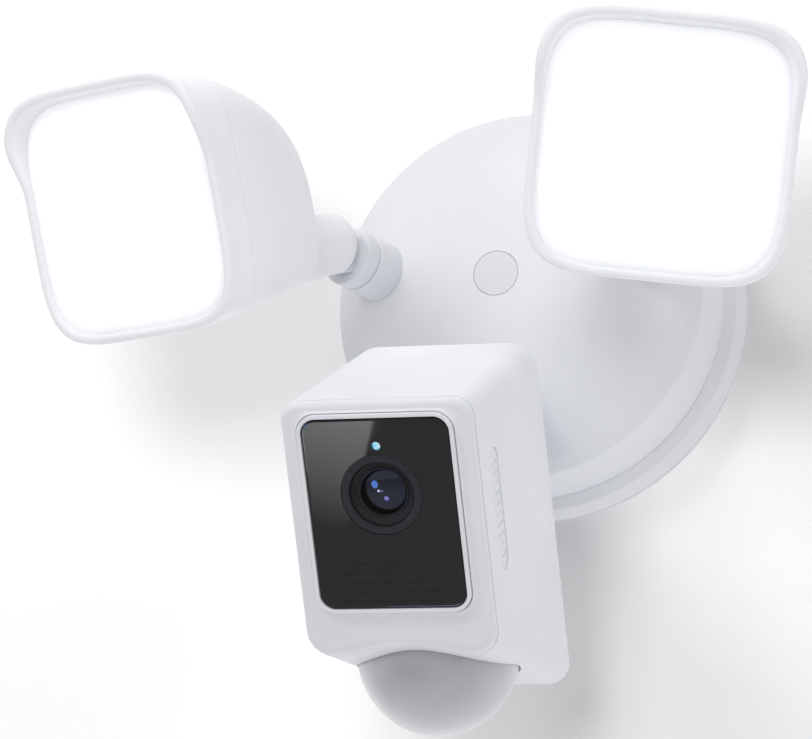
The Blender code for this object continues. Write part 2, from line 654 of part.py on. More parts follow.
def build_arm(name, arm_frame, swivel_frame, tilt_frame, base_frame):
    """Socket on the dome, knuckle that turns in it, its washer and nut, and the tilt pin."""
    reach = reach_to_dome(arm_frame.matrix_world)
    spigot_end = reach + SPIGOT_INSIDE
    barrel = cylinder(f"{name}_arm_socket", SOCKET_RADIUS, -spigot_end, -SOCKET_FRONT)
    socket = add_part(f"{name}_arm_socket", barrel, arm_frame, white_plastic)
    dome_points = []
    for ring in range(DOME_RINGS + 1):
        radius = CREASE_RADIUS * ring / DOME_RINGS
        dome_points.append((radius, dome_at(radius, -CLEARANCE)))
    dome_points.append((CREASE_RADIUS, 0.0))
    dome_points.append((0.0, 0.0))
    cut(socket, turned_cutter(f"{name}_dome_cut", dome_points, False, TURN_STEPS, base_frame))
    spigot_mesh = cylinder(f"{name}_spigot", SPIGOT_RADIUS, -spigot_end, -SOCKET_FRONT - WALL)
    join(socket, add_cutter(f"{name}_spigot", spigot_mesh, arm_frame))
    bore_mesh = cylinder(f"{name}_bore", SHAFT_RADIUS + CLEARANCE, -2 * spigot_end, 0.0)
    cut(socket, add_cutter(f"{name}_bore", bore_mesh, arm_frame))

    washer_front = spigot_end + CLEARANCE
    nut_front = washer_front + WASHER_THICKNESS + CLEARANCE
    shaft_end = nut_front + NUT_THICKNESS + CLEARANCE
    collar_back = COLLAR_FRONT + COLLAR_LENGTH
    knuckle_points = [
        (0.0, -COLLAR_FRONT),
        (COLLAR_RADIUS, -COLLAR_FRONT),
        (COLLAR_RADIUS, -collar_back),
        (SHAFT_RADIUS, -collar_back),
        (SHAFT_RADIUS, -shaft_end),
        (0.0, -shaft_end),
    ]
    knuckle = turned_part(f"{name}_knuckle", knuckle_points, False, SMALL_STEPS, swivel_frame, white_plastic)
    half_thick = TONGUE_THICKNESS / 2
    half_high = TONGUE_HEIGHT / 2
    tongue_low = (-half_thick, -half_high, -collar_back + WALL)
    tongue_mesh = box(f"{name}_tongue", tongue_low, (half_thick, half_high, 0.0))
    join(knuckle, add_cutter(f"{name}_tongue", tongue_mesh, swivel_frame))
    nose_mesh = cylinder(f"{name}_tongue_nose", half_high, -half_thick, half_thick, axis="X")
    join(knuckle, add_cutter(f"{name}_tongue_nose", nose_mesh, swivel_frame))
    eye_radius = PIN_RADIUS + CLEARANCE
    eye_mesh = cylinder(f"{name}_eye", eye_radius, -NECK_RADIUS, NECK_RADIUS, segments=PIN_STEPS, axis="X")
    cut(knuckle, add_cutter(f"{name}_eye", eye_mesh, swivel_frame))

    washer_inner = SHAFT_RADIUS + CLEARANCE
    washer = ring_profile(washer_inner, WASHER_RADIUS, -washer_front - WASHER_THICKNESS, -washer_front)
    turned_part(f"{name}_thrust_washer", washer, True, SMALL_STEPS, swivel_frame, black_rubber)

    corner_radius = NUT_ACROSS_FLATS / 2 / math.cos(math.pi / 6)
    nut_mesh = cylinder(
        f"{name}_lock_nut", corner_radius, -nut_front - NUT_THICKNESS, -nut_front, segments=6
    )
    nut = add_part(f"{name}_lock_nut", nut_mesh, swivel_frame, steel)
    thread_mesh = cylinder(f"{name}_nut_thread", washer_inner, -2 * nut_front, 0.0)
    cut(nut, add_cutter(f"{name}_nut_thread", thread_mesh, swivel_frame))

    pin_end = NECK_RADIUS - PIN_WALL
    pin_mesh = cylinder(f"{name}_tilt_pin", PIN_RADIUS, -pin_end, pin_end, segments=PIN_STEPS, axis="X")
    add_part(f"{name}_tilt_pin", pin_mesh, tilt_frame, steel)


def cut_fork(obj, name, frame):
    """Opens a neck's round end for the tongue and bores its two ears for the pin, from the left side."""
    half_gap = TONGUE_THICKNESS / 2 + CLEARANCE
    floor = TONGUE_HEIGHT / 2 + CLEARANCE
    clear = 2 * NECK_RADIUS
    slot = box(f"{name}_fork_slot", (-half_gap, -clear, -clear), (half_gap, clear, floor))
    cut(obj, add_cutter(f"{name}_fork_slot", slot, frame))
    pin_end = NECK_RADIUS - PIN_WALL + CLEARANCE
    bore = cylinder(
        f"{name}_pin_bore", PIN_RADIUS + CLEARANCE, -clear, pin_end, segments=PIN_STEPS, axis="X"
    )
    cut(obj, add_cutter(f"{name}_pin_bore", bore, frame))


def round_end_rings():
    """Rings of the neck's ball end, from near its pole to the pin."""
    rings = []
    for step in range(BALL_STEPS, -1, -1):
        angle = math.radians(BALL_POLE_DEG) * step / BALL_STEPS
        rings.append(squircle(NECK_RADIUS * math.cos(angle), 0.0, -NECK_RADIUS * math.sin(angle), ROUND))
    return rings


def lamp_section(distance, inset):
    """Section of the lamp's body: a circle at the neck that swells to a rounded square at the rim."""
    share = (distance - LAMP_BACK_DISTANCE) / (LAMP_RIM_BACK - LAMP_BACK_DISTANCE)
    share = min(max(share, 0.0), 1.0)
    swell = share**LAMP_SWELL_ROOT
    rim_half = LAMP_HALF - RIM_NECK_IN
    half = NECK_RADIUS + (rim_half - NECK_RADIUS) * swell
    floor = -NECK_RADIUS - LAMP_FLOOR_DROP * share
    power = ROUND + (LAMP_SQUARENESS - ROUND) * swell
    return squircle(half - inset, floor + half, distance, power)


def build_lamp(name, frame):
    span = LAMP_RIM_BACK - LAMP_BACK_DISTANCE
    shares = [(step / LAMP_BODY_RINGS) ** LAMP_RING_GATHER for step in range(LAMP_BODY_RINGS + 1)]
    body = [lamp_section(LAMP_BACK_DISTANCE + span * share, 0.0) for share in shares]
    housing_mesh = loft(f"{name}_lamp_housing", round_end_rings() + body)
    housing = add_part(f"{name}_lamp_housing", housing_mesh, frame, white_plastic)
    hollow = [lamp_section(LAMP_BACK_DISTANCE + span * share, WALL) for share in shares[1:]]
    mouth = [point + Vector((0.0, 0.0, LAMP_RIM_DEPTH)) for point in hollow[-1]]
    cut(housing, add_cutter(f"{name}_lamp_hollow", loft(f"{name}_lamp_hollow", hollow + [mouth]), frame))
    cut_fork(housing, f"{name}_lamp", frame)

    build_bezel(name, frame)
    lens_half = LAMP_HALF - RIM_THICKNESS - CLEARANCE
    lens_front = LAMP_FACE_DISTANCE - LENS_SINK
    lens_back = lens_front - LENS_THICKNESS
    lens_rings = [
        squircle(lens_half, LAMP_CENTRE_UP, lens_back, LAMP_SQUARENESS),
        squircle(lens_half, LAMP_CENTRE_UP, lens_front - LENS_CHAMFER, LAMP_SQUARENESS),
        squircle(lens_half - LENS_CHAMFER, LAMP_CENTRE_UP, lens_front, LAMP_SQUARENESS),
    ]
    add_part(f"{name}_lamp_lens", loft(f"{name}_lamp_lens", lens_rings), frame, lit_diffuser)

    gasket_front = lens_back - CLEARANCE
    gasket_back = gasket_front - LENS_GASKET_THICKNESS
    gasket_inner = lens_half - LENS_LEDGE
    gasket_rings = [
        squircle(lens_half, LAMP_CENTRE_UP, gasket_back, LAMP_SQUARENESS),
        squircle(lens_half, LAMP_CENTRE_UP, gasket_front, LAMP_SQUARENESS),
        squircle(gasket_inner, LAMP_CENTRE_UP, gasket_front, LAMP_SQUARENESS),
        squircle(gasket_inner, LAMP_CENTRE_UP, gasket_back, LAMP_SQUARENESS),
    ]
    add_part(f"{name}_lens_gasket", loft(f"{name}_lens_gasket", gasket_rings, True), frame, black_rubber)

    build_light_engine(name, frame)


def build_bezel(name, frame):
    """Rim round the lens; its front edge grows into a hood over the top and the upper corners."""
    lens_back = LAMP_FACE_DISTANCE - LENS_SINK - LENS_THICKNESS
    ledge_front = lens_back - 2 * CLEARANCE - LENS_GASKET_THICKNESS
    ledge_back = ledge_front - LENS_GASKET_THICKNESS * 2
    back = LAMP_RIM_BACK + CLEARANCE
    inner = LAMP_HALF - RIM_THICKNESS
    ledge = inner - LENS_LEDGE

    def rim(half, distance):
        return squircle(half, LAMP_CENTRE_UP, distance, LAMP_SQUARENESS)

    def hood(half):
        points = []
        for point in rim(half, LAMP_FACE_DISTANCE):
            height = (point.y - LAMP_CENTRE_UP) / LAMP_HALF
            share = min(max((height - HOOD_START) / (HOOD_END - HOOD_START), 0.0), 1.0)
            share = share * share * (3 - 2 * share)
            outward = Vector((point.x, point.y - LAMP_CENTRE_UP, 0.0)) * (HOOD_FLARE / LAMP_HALF * share)
            points.append(point + outward + Vector((0.0, 0.0, HOOD_LENGTH * share)))
        return points

    rings = [
        rim(LAMP_HALF - RIM_NECK_IN, back),
        rim(LAMP_HALF, LAMP_FACE_DISTANCE - HOOD_LEAST),
        hood(LAMP_HALF),
        hood(inner),
        rim(inner, LAMP_FACE_DISTANCE - HOOD_LEAST),
        rim(inner, ledge_front),
        rim(ledge, ledge_front),
        rim(ledge, ledge_back),
        rim(inner - RIM_NECK_IN, ledge_back),
        rim(inner - RIM_NECK_IN, back),
    ]
    add_part(f"{name}_lamp_bezel", loft(f"{name}_lamp_bezel", rings, True), frame, white_plastic)


def build_light_engine(name, frame):
    """Finned heat sink that fills the lamp's body, with the board of light-emitting diodes on it."""
    inset = WALL + CLEARANCE
    plate_back = lamp_section(HEAT_SINK_DISTANCE, inset)
    thickness = Vector((0.0, 0.0, HEAT_SINK_THICKNESS))
    plate_front = [point + thickness for point in plate_back]
    sink_mesh = loft(f"{name}_heat_sink", [plate_back, plate_front])
    sink = add_part(f"{name}_heat_sink", sink_mesh, frame, aluminium)
    heights = [point.y for point in plate_back]
    middle_up = (min(heights) + max(heights)) / 2
    half = (max(heights) - min(heights)) / 2
    fin_back = HEAT_SINK_DISTANCE - HEAT_SINK_FIN_LENGTH
    fin_sections = [point.y for point in lamp_section(fin_back, inset)]
    for fin in range(HEAT_SINK_FINS):
        x = HEAT_SINK_FIN_PITCH * (fin - (HEAT_SINK_FINS - 1) / 2)
        lowest = min(fin_sections) + HEAT_SINK_FIN_MARGIN
        highest = max(fin_sections) - HEAT_SINK_FIN_MARGIN
        low = (x - HEAT_SINK_FIN_THICKNESS / 2, lowest, fin_back)
        high = (x + HEAT_SINK_FIN_THICKNESS / 2, highest, HEAT_SINK_DISTANCE + WALL)
        fin_name = f"{name}_fin_{fin + 1}"
        join(sink, add_cutter(fin_name, box(fin_name, low, high), frame))

    seat = HEAT_SINK_DISTANCE + HEAT_SINK_THICKNESS + CLEARANCE
    board_half = half - LED_BOARD_MARGIN
    board_rings = [
        squircle(board_half, middle_up, seat, LAMP_SQUARENESS),
        squircle(board_half, middle_up, seat + BOARD_THICKNESS, LAMP_SQUARENESS),
    ]
    board = add_part(f"{name}_led_board", loft(f"{name}_led_board", board_rings), frame, white_board)
    for row in range(LED_ROWS):
        for column in range(LED_ROWS):
            x = LED_PITCH * (column - (LED_ROWS - 1) / 2)
            y = middle_up + LED_PITCH * (row - (LED_ROWS - 1) / 2)
            low = (x - LED_SIZE / 2, y - LED_SIZE / 2, seat + BOARD_THICKNESS / 2)
            high = (x + LED_SIZE / 2, y + LED_SIZE / 2, seat + BOARD_THICKNESS + LED_HEIGHT)
            led_name = f"{name}_led_{row + 1}_{column + 1}"
            join(board, add_cutter(led_name, box(led_name, low, high), frame))


def camera_section(distance, inset):
    """Front view of the camera head at one distance: the top falls and the underside slopes to the rear."""
    behind = CAMERA_FRONT - distance
    share = behind / (CAMERA_FRONT - CAMERA_REAR)
    top = CAMERA_TOP - CAMERA_TOP_FALL * share
    bottom = CAMERA_FRONT_BOTTOM - CAMERA_BOTTOM_SLOPE * behind
    half = CAMERA_HALF_WIDTH
    corners = [(half, top), (-half, top), (-half, bottom), (half, bottom)]
    top_corner = CAMERA_FRONT_CORNER + (CAMERA_REAR_CORNER - CAMERA_FRONT_CORNER) * share
    radii = [top_corner, top_corner, CAMERA_BOTTOM_CORNER, CAMERA_BOTTOM_CORNER]
    return [Vector((x, y, distance)) for x, y in rounded_polygon(corners, radii, inset)]


def camera_solid(name, inset):
    """The camera head's outer form, drawn inwards by inset all round, with rounded front and rear edges."""
    radius = max(CAMERA_EDGE - inset, CLEARANCE)
    drops = []
    for step in range(EDGE_STEPS + 1):
        angle = math.radians(90) * step / EDGE_STEPS
        drops.append((radius - radius * math.cos(angle), radius - radius * math.sin(angle)))
    rings = [camera_section(CAMERA_FRONT - inset - back, inset + drop) for back, drop in drops]
    rings += [camera_section(CAMERA_REAR + inset + back, inset + drop) for back, drop in reversed(drops)]
    return loft(name, rings)


def build_camera(frame):
    build_camera_shells(frame)
    build_camera_face(frame)
    build_camera_inside(frame)
    build_motion_sensor(frame)


def build_camera_shells(frame):
    far = 2 * CAMERA_FRONT
    hollow = add_cutter("camera_hollow", camera_solid("camera_hollow", WALL), frame)
    ahead = add_cutter(
        "ahead_of_parting",
        box("ahead_of_parting", (-far, -far, PARTING_DISTANCE - CLEARANCE / 2), (far, far, far)),
        frame,
    )
    behind = add_cutter(
        "behind_parting",
        box("behind_parting", (-far, -far, -far), (far, far, PARTING_DISTANCE + CLEARANCE / 2)),
        frame,
    )

    front = add_part("front_shell", camera_solid("front_shell", 0.0), frame, white_plastic)
    cut(front, hollow)
    cut(front, behind)
    lip = 2 * (PLATEAU_LIP + CLEARANCE)
    spread = 2 * PLATEAU_SPREAD
    plateau_rings = [
        rounded_rectangle(
            WINDOW_WIDTH + lip + grow * spread,
            WINDOW_HEIGHT + lip + grow * spread,
            WINDOW_CORNER + (lip + grow * spread) / 2,
            WINDOW_CENTRE_UP,
            distance,
        )
        for grow, distance in (
            (1.0, CAMERA_FRONT - WALL / 2),
            (1.0, CAMERA_FRONT),
            (PLATEAU_WAIST, (CAMERA_FRONT + PLATEAU_FRONT) / 2),
            (0.0, PLATEAU_FRONT),
        )
    ]
    join(front, add_cutter("window_plateau", loft("window_plateau", plateau_rings), frame))
    window_back = WINDOW_FRONT - WINDOW_THICKNESS
    openings = (
        ("window_recess", CLEARANCE, window_back - CLEARANCE),
        ("window_aperture", -WINDOW_LEDGE, PARTING_DISTANCE - WALL),
    )
    for name, grow, back in openings:
        width = WINDOW_WIDTH + 2 * grow
        height = WINDOW_HEIGHT + 2 * grow
        corner = WINDOW_CORNER + grow
        rings = [rounded_rectangle(width, height, corner, WINDOW_CENTRE_UP, end) for end in (back, far)]
        cut(front, add_cutter(name, loft(name, rings), frame))

    rear = add_part("rear_shell", camera_solid("rear_shell", 0.0), frame, white_plastic)
    cut(rear, hollow)
    cut(rear, ahead)
    neck_rings = round_end_rings()
    neck_rings.append(squircle(NECK_RADIUS, 0.0, CAMERA_REAR + WALL / 2, ROUND))
    join(rear, add_cutter("camera_neck", loft("camera_neck", neck_rings), frame))
    cut_fork(rear, "camera", frame)
    slot = obround_bar("side_slot", GRILLE_WIDTH + 2 * CLEARANCE, GRILLE_LENGTH + 2 * CLEARANCE, 0.0, far)
    cut(rear, add_cutter("side_slot", slot, frame))


def obround_bar(name, width, length, low, high):
    """A bar along x with an obround section, upright, at the side grille's place."""
    flat = rounded_rectangle(width, length, width / 2 - CLEARANCE / 2, GRILLE_UP, 0.0)
    rings = [[Vector((x, p.y, GRILLE_DISTANCE + p.x)) for p in flat] for x in (low, high)]
    return loft(name, rings)


def build_camera_face(frame):
    window_back = WINDOW_FRONT - WINDOW_THICKNESS
    lens_up = WINDOW_CENTRE_UP + LENS_UP
    window_rings = [
        rounded_rectangle(WINDOW_WIDTH, WINDOW_HEIGHT, WINDOW_CORNER, WINDOW_CENTRE_UP, distance)
        for distance in (window_back, WINDOW_FRONT)
    ]
    window = add_part("window", loft("window", window_rings), frame, black_gloss)
    lens_hole = cylinder(
        "lens_hole", BARREL_RADIUS + CLEARANCE, PARTING_DISTANCE, 2 * WINDOW_FRONT, (0.0, lens_up), TURN_STEPS
    )
    cut(window, add_cutter("lens_hole", lens_hole, frame))
    light_place = (0.0, lens_up + LIGHT_PIPE_UP)
    light_radius = LIGHT_PIPE_RADIUS + CLEARANCE
    light_hole = cylinder(
        "light_hole", light_radius, PARTING_DISTANCE, 2 * WINDOW_FRONT, light_place, SCREW_STEPS
    )
    cut(window, add_cutter("light_hole", light_hole, frame))

    glass_front = WINDOW_FRONT - LENS_GLASS_SINK
    glass_back = glass_front - LENS_GLASS_THICKNESS
    seat = LENS_GLASS_RADIUS + CLEARANCE
    barrel_points = [
        (BARREL_MOUTH_RADIUS, WINDOW_FRONT - CLEARANCE),
        (BARREL_RADIUS, WINDOW_FRONT - CLEARANCE),
        (BARREL_RADIUS, window_back - WALL),
        (BARREL_REAR_RADIUS, window_back - WALL),
        (BARREL_REAR_RADIUS, BARREL_REAR),
        (LENS_GLASS_RADIUS - WALL, BARREL_REAR),
        (LENS_GLASS_RADIUS - WALL, glass_back - CLEARANCE),
        (seat, glass_back - CLEARANCE),
        (seat, glass_front - LENS_GLASS_BULGE),
    ]
    barrel = turned_part("lens_barrel", barrel_points, True, SMALL_STEPS, frame, black_matt)
    barrel.location = (0.0, lens_up, 0.0)
    bulge_sphere = (LENS_GLASS_RADIUS**2 + LENS_GLASS_BULGE**2) / (2 * LENS_GLASS_BULGE)
    glass_points = []
    for ring in range(LENS_GLASS_RINGS + 1):
        radius = LENS_GLASS_RADIUS * ring / LENS_GLASS_RINGS
        drop = bulge_sphere - math.sqrt(bulge_sphere**2 - radius**2)
        glass_points.append((radius, glass_front - drop))
    glass_points += [(LENS_GLASS_RADIUS, glass_back), (0.0, glass_back)]
    glass = turned_part("lens_glass", glass_points, False, SMALL_STEPS, frame, lens_coating)
    glass.location = (0.0, lens_up, 0.0)

    pipe_front = WINDOW_FRONT - CLEARANCE
    pipe_back = pipe_front - LIGHT_PIPE_LENGTH
    pipe = cylinder("light_pipe", LIGHT_PIPE_RADIUS, pipe_back, pipe_front, light_place, SCREW_STEPS)
    add_part("light_pipe", pipe, frame, lit_status)

    grille_x = CAMERA_HALF_WIDTH - GRILLE_SINK
    grille_mesh = obround_bar("side_grille", GRILLE_WIDTH, GRILLE_LENGTH, CAMERA_HALF_WIDTH - WALL, grille_x)
    grille = add_part("side_grille", grille_mesh, frame, white_plastic)
    for slot in range(GRILLE_SLOTS):
        up = GRILLE_UP + GRILLE_SLOT_PITCH * (slot - (GRILLE_SLOTS - 1) / 2)
        half_width = GRILLE_WIDTH / 2 - GRILLE_SLOT_MARGIN
        low = (0.0, up - GRILLE_SLOT_HEIGHT / 2, GRILLE_DISTANCE - half_width)
        high = (2 * CAMERA_HALF_WIDTH, up + GRILLE_SLOT_HEIGHT / 2, GRILLE_DISTANCE + half_width)
        name = f"grille_slot_{slot + 1}"
        cut(grille, add_cutter(name, box(name, low, high), frame))


def build_camera_inside(frame):
    lens_up = WINDOW_CENTRE_UP + LENS_UP
    half = SENSOR_BOARD_SIZE / 2
    front = BARREL_REAR - CLEARANCE
    low = (-half, lens_up - half, front - BOARD_THICKNESS)
    sensor = box("sensor_board", low, (half, lens_up + half, front))
    add_part("sensor_board", sensor, frame, circuit_board)

    reach = CAMERA_HALF_WIDTH - WALL - CLEARANCE
    top = CAMERA_TOP - CAMERA_TOP_FALL - CAMERA_REAR_CORNER
    back = MAIN_BOARD_DISTANCE
    main = box("main_board", (-reach, top - MAIN_BOARD_HEIGHT, back), (reach, top, back + BOARD_THICKNESS))
    add_part("main_board", main, frame, circuit_board)

    place = (GRILLE_UP, GRILLE_DISTANCE)
    speaker = cylinder("speaker", SPEAKER_RADIUS, reach - SPEAKER_DEPTH, reach, place, axis="X")
    add_part("speaker", speaker, frame, black_matt)


def build_motion_sensor(camera_frame):
    """White dome under the camera, its axis square to the sloping underside, and the sensor board in it."""
    slope = math.atan(CAMERA_BOTTOM_SLOPE)
    up = CAMERA_FRONT_BOTTOM - CAMERA_BOTTOM_SLOPE * (CAMERA_FRONT - PIR_DISTANCE)
    place = Matrix.Translation((0.0, up, PIR_DISTANCE))
    turn_down = Matrix.Rotation(math.radians(90) - slope, 4, "X")
    frame = local_frame("pir_frame", camera_frame.matrix_world @ place @ turn_down)
    mouth = math.sqrt(PIR_RADIUS**2 - PIR_CENTRE_SINK**2)
    flange_top = -WALL - PIR_FLANGE_SINK
    flange_low = flange_top - PIR_FLANGE_THICKNESS
    outside = []
    inside = []
    for ring in range(PIR_RINGS + 1):
        share = ring / PIR_RINGS
        for points, radius in ((outside, PIR_RADIUS), (inside, PIR_RADIUS - PIR_WALL)):
            lowest = math.asin(PIR_CENTRE_SINK / radius)
            angle = math.radians(90) + (lowest - math.radians(90)) * share
            across = radius * math.cos(angle) if ring else 0.0
            points.append((across, radius * math.sin(angle) - PIR_CENTRE_SINK))
    skirt = [
        (mouth, flange_top),
        (mouth + PIR_FLANGE_WIDTH, flange_top),
        (mouth + PIR_FLANGE_WIDTH, flange_low),
        (mouth, flange_low),
        (mouth, -PIR_SKIRT),
        (mouth - PIR_WALL, -PIR_SKIRT),
    ]
    dome_points = outside + skirt + inside[::-1]
    turned_part("pir_dome", dome_points, False, PIR_STEPS, frame, white_lens)
    hole = cylinder("pir_hole", mouth + CLEARANCE, -PIR_SKIRT, PIR_SKIRT, segments=PIR_STEPS)
    cut(bpy.data.objects["rear_shell"], add_cutter("pir_hole", hole, frame))

    board_front = -PIR_SKIRT - CLEARANCE
    board_points = [
        (0.0, board_front + PIR_CAN_HEIGHT),
        (PIR_CAN_RADIUS, board_front + PIR_CAN_HEIGHT),
        (PIR_CAN_RADIUS, board_front),
        (mouth, board_front),
        (mouth, board_front - BOARD_THICKNESS),
        (0.0, board_front - BOARD_THICKNESS),
    ]
    turned_part("pir_board", board_points, False, SMALL_STEPS, frame, circuit_board)


clear_scene()
parts = new_collection(PARTS_NAME, False)
cutters = new_collection(PARTS_NAME + "_cutters", True)

white_plastic = material("white_polycarbonate", (0.82, 0.82, 0.84), 0.45)
white_rubber = material("white_silicone", (0.78, 0.78, 0.80), 0.6)
white_lens = material("milky_polyethylene", (0.80, 0.80, 0.82), 0.35)
white_board = material("white_circuit_board", (0.85, 0.85, 0.83), 0.5)
black_rubber = material("black_rubber", (0.02, 0.02, 0.02), 0.8)
black_gloss = material("black_acrylic", (0.01, 0.01, 0.011), 0.08)
black_matt = material("black_nylon", (0.015, 0.015, 0.016), 0.5)
lens_coating = material("coated_glass", (0.02, 0.03, 0.06), 0.05)
lit_diffuser = material("opal_acrylic", (0.95, 0.95, 0.95), 0.4)
lit_status = material("cyan_light_pipe", (0.35, 0.85, 0.95), 0.3)
steel = material("zinc_plated_steel", (0.55, 0.55, 0.54), 0.35, 1.0)
aluminium = material("extruded_aluminium", (0.70, 0.70, 0.71), 0.4, 1.0)
circuit_board = material("green_circuit_board", (0.02, 0.12, 0.05), 0.45)
copper_tape = material("yellow_winding_tape", (0.75, 0.55, 0.10), 0.5)
dark_sleeve = material("capacitor_sleeve", (0.03, 0.03, 0.05), 0.4)
green_nylon = material("green_nylon", (0.05, 0.25, 0.10), 0.5)

base_frame = local_frame("base_frame", Matrix.Rotation(math.radians(90), 4, "X"))
side, up, out = LAMP_PIVOT
camera_down = math.radians(CAMERA_ARM_DOWN_DEG)
camera_reach = DOME_SPHERE + CAMERA_PIVOT_REACH
camera_pivot = (
    0.0,
    -camera_reach * math.sin(camera_down),
    DOME_CENTRE + camera_reach * math.cos(camera_down),
)
arms = {
    "left": ((-side, up, out), -LAMP_ARM_OUTWARD_DEG, LAMP_ARM_UP_DEG, LEFT_SWIVEL_DEG, LEFT_TILT_DEG),
    "right": ((side, up, out), LAMP_ARM_OUTWARD_DEG, LAMP_ARM_UP_DEG, RIGHT_SWIVEL_DEG, RIGHT_TILT_DEG),
    "camera": (camera_pivot, 0.0, -CAMERA_ARM_DOWN_DEG, CAMERA_SWIVEL_DEG, CAMERA_TILT_DEG),
}
arm_frames = {}
swivel_frames = {}
tilt_frames = {}
for arm_name, (pivot, outward_deg, up_deg, swivel_deg, tilt_deg) in arms.items():
    along = arm_matrix(pivot, outward_deg, up_deg)
    swivelled = along @ Matrix.Rotation(math.radians(-swivel_deg), 4, "Z")
    tilted = swivelled @ Matrix.Rotation(math.radians(tilt_deg), 4, "X")
    arm_frames[arm_name] = local_frame(f"{arm_name}_arm_frame", along)
    swivel_frames[arm_name] = local_frame(f"{arm_name}_swivel_frame", swivelled)
    tilt_frames[arm_name] = local_frame(f"{arm_name}_tilt_frame", tilted)
bpy.context.view_layer.update()

build_bracket(base_frame)
build_back_plate(base_frame)
build_cover(base_frame, arm_frames)
build_electronics(base_frame)
for arm_name in arms:
    build_arm(arm_name, arm_frames[arm_name], swivel_frames[arm_name], tilt_frames[arm_name], base_frame)
for lamp_name in ("left", "right"):
    build_lamp(lamp_name, tilt_frames[lamp_name])
build_camera(tilt_frames["camera"])
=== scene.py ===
# %% [markdown]
# # A floodlight camera for an outside wall
# The lamp has a round domed base, two square lamp heads and one camera head, each on a jointed arm.
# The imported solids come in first. They hold every size and every joint, so each new piece below is drawn
# at the same place and replaces its solid only where a finer surface shows.

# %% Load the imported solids
import math

import bmesh
import bpy
from mathutils import Matrix, Vector


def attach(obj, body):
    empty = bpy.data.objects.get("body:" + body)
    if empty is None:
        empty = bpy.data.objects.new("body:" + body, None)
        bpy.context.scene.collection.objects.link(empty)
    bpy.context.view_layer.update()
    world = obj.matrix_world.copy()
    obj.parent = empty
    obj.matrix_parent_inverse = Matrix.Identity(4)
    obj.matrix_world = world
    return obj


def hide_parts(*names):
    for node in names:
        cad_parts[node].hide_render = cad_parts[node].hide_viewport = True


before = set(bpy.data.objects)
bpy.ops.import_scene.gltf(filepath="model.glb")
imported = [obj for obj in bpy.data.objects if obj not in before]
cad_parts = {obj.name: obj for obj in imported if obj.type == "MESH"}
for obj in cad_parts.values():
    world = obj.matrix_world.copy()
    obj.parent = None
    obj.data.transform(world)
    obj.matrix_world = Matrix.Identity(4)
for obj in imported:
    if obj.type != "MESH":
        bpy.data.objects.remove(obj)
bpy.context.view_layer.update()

MM = 0.001

# %% [markdown]
# ## The bench
# Operators act on whatever is selected, so the first habit is to clear the selection before every step.
# The helpers below are the four moves that this lamp needs: a lathe, a drawn-out skin, a cut, and a
# last step that fixes a finished piece to the body that carries it.


# %% Select one thing
def alone(obj=None):
    """Clears the selection, then picks one object to work on."""
    bpy.ops.object.select_all(action="DESELECT")
    if obj is not None:
        obj.select_set(True)
        bpy.context.view_layer.objects.active = obj


# %% [markdown]
# Round pieces are spun. A plane is merged into one vertex, the vertex is extruded along half of the
# outline, and Spin carries the outline round the Z axis. A corner with a third number is eased by that radius,
# because moulded plastic never has a knife edge and the eased corner is what catches the light.


# %% A lathe
EASE_STEPS = 5
EASE_LIMIT = 0.45
WELD = MM / 500
FINE_TURN = 160
SMALL_TURN = 72


def eased(outline):
    """Replaces each corner that carries a third number by a short arc of about that radius."""
    points = []
    for i, corner in enumerate(outline):
        here = Vector(corner[:2])
        if len(corner) < 3 or i in (0, len(outline) - 1):
            points.append(here)
            continue
        back = Vector(outline[i - 1][:2]) - here
        ahead = Vector(outline[i + 1][:2]) - here
        half = back.angle(ahead) / 2
        reach = min(corner[2] / math.tan(half), EASE_LIMIT * back.length, EASE_LIMIT * ahead.length)
        start = here + back.normalized() * reach
        end = here + ahead.normalized() * reach
        for step in range(EASE_STEPS + 1):
            share = step / EASE_STEPS
            points.append(start * (1 - share) ** 2 + here * 2 * share * (1 - share) + end * share**2)
    return points


def turned(name, outline, steps=SMALL_TURN):
    """Spins an outline of (radius, height) corners round Z."""
    points = eased([tuple(value * MM for value in corner) for corner in outline])
    alone()
    bpy.ops.mesh.primitive_plane_add(size=MM)
    obj = bpy.context.object
    obj.name = name
    bpy.ops.object.mode_set(mode="EDIT")
    bpy.ops.mesh.merge(type="CENTER")
    bpy.ops.transform.translate(value=(points[0].x, 0, points[0].y))
    for before, after in zip(points, points[1:]):
        step = (after.x - before.x, 0, after.y - before.y)
        bpy.ops.mesh.extrude_vertices_move(TRANSFORM_OT_translate={"value": step})
    bpy.ops.mesh.select_all(action="SELECT")
    bpy.ops.mesh.spin(steps=steps, angle=math.tau, center=(0, 0, 0), axis=(0, 0, 1))
    close_up()
    return obj


def close_up():
    """Merges the seam and the poles, turns the faces outwards and leaves edit mode."""
    bpy.ops.mesh.select_all(action="SELECT")
    bpy.ops.mesh.remove_doubles(threshold=WELD)
    bpy.ops.mesh.normals_make_consistent(inside=False)
    bpy.ops.object.mode_set(mode="OBJECT")


# %% [markdown]
# The lamp and camera heads aren't round, so they are drawn out like putty: a circle is extruded ring by ring,
# and each new ring is pressed into the section that the head has at that depth.


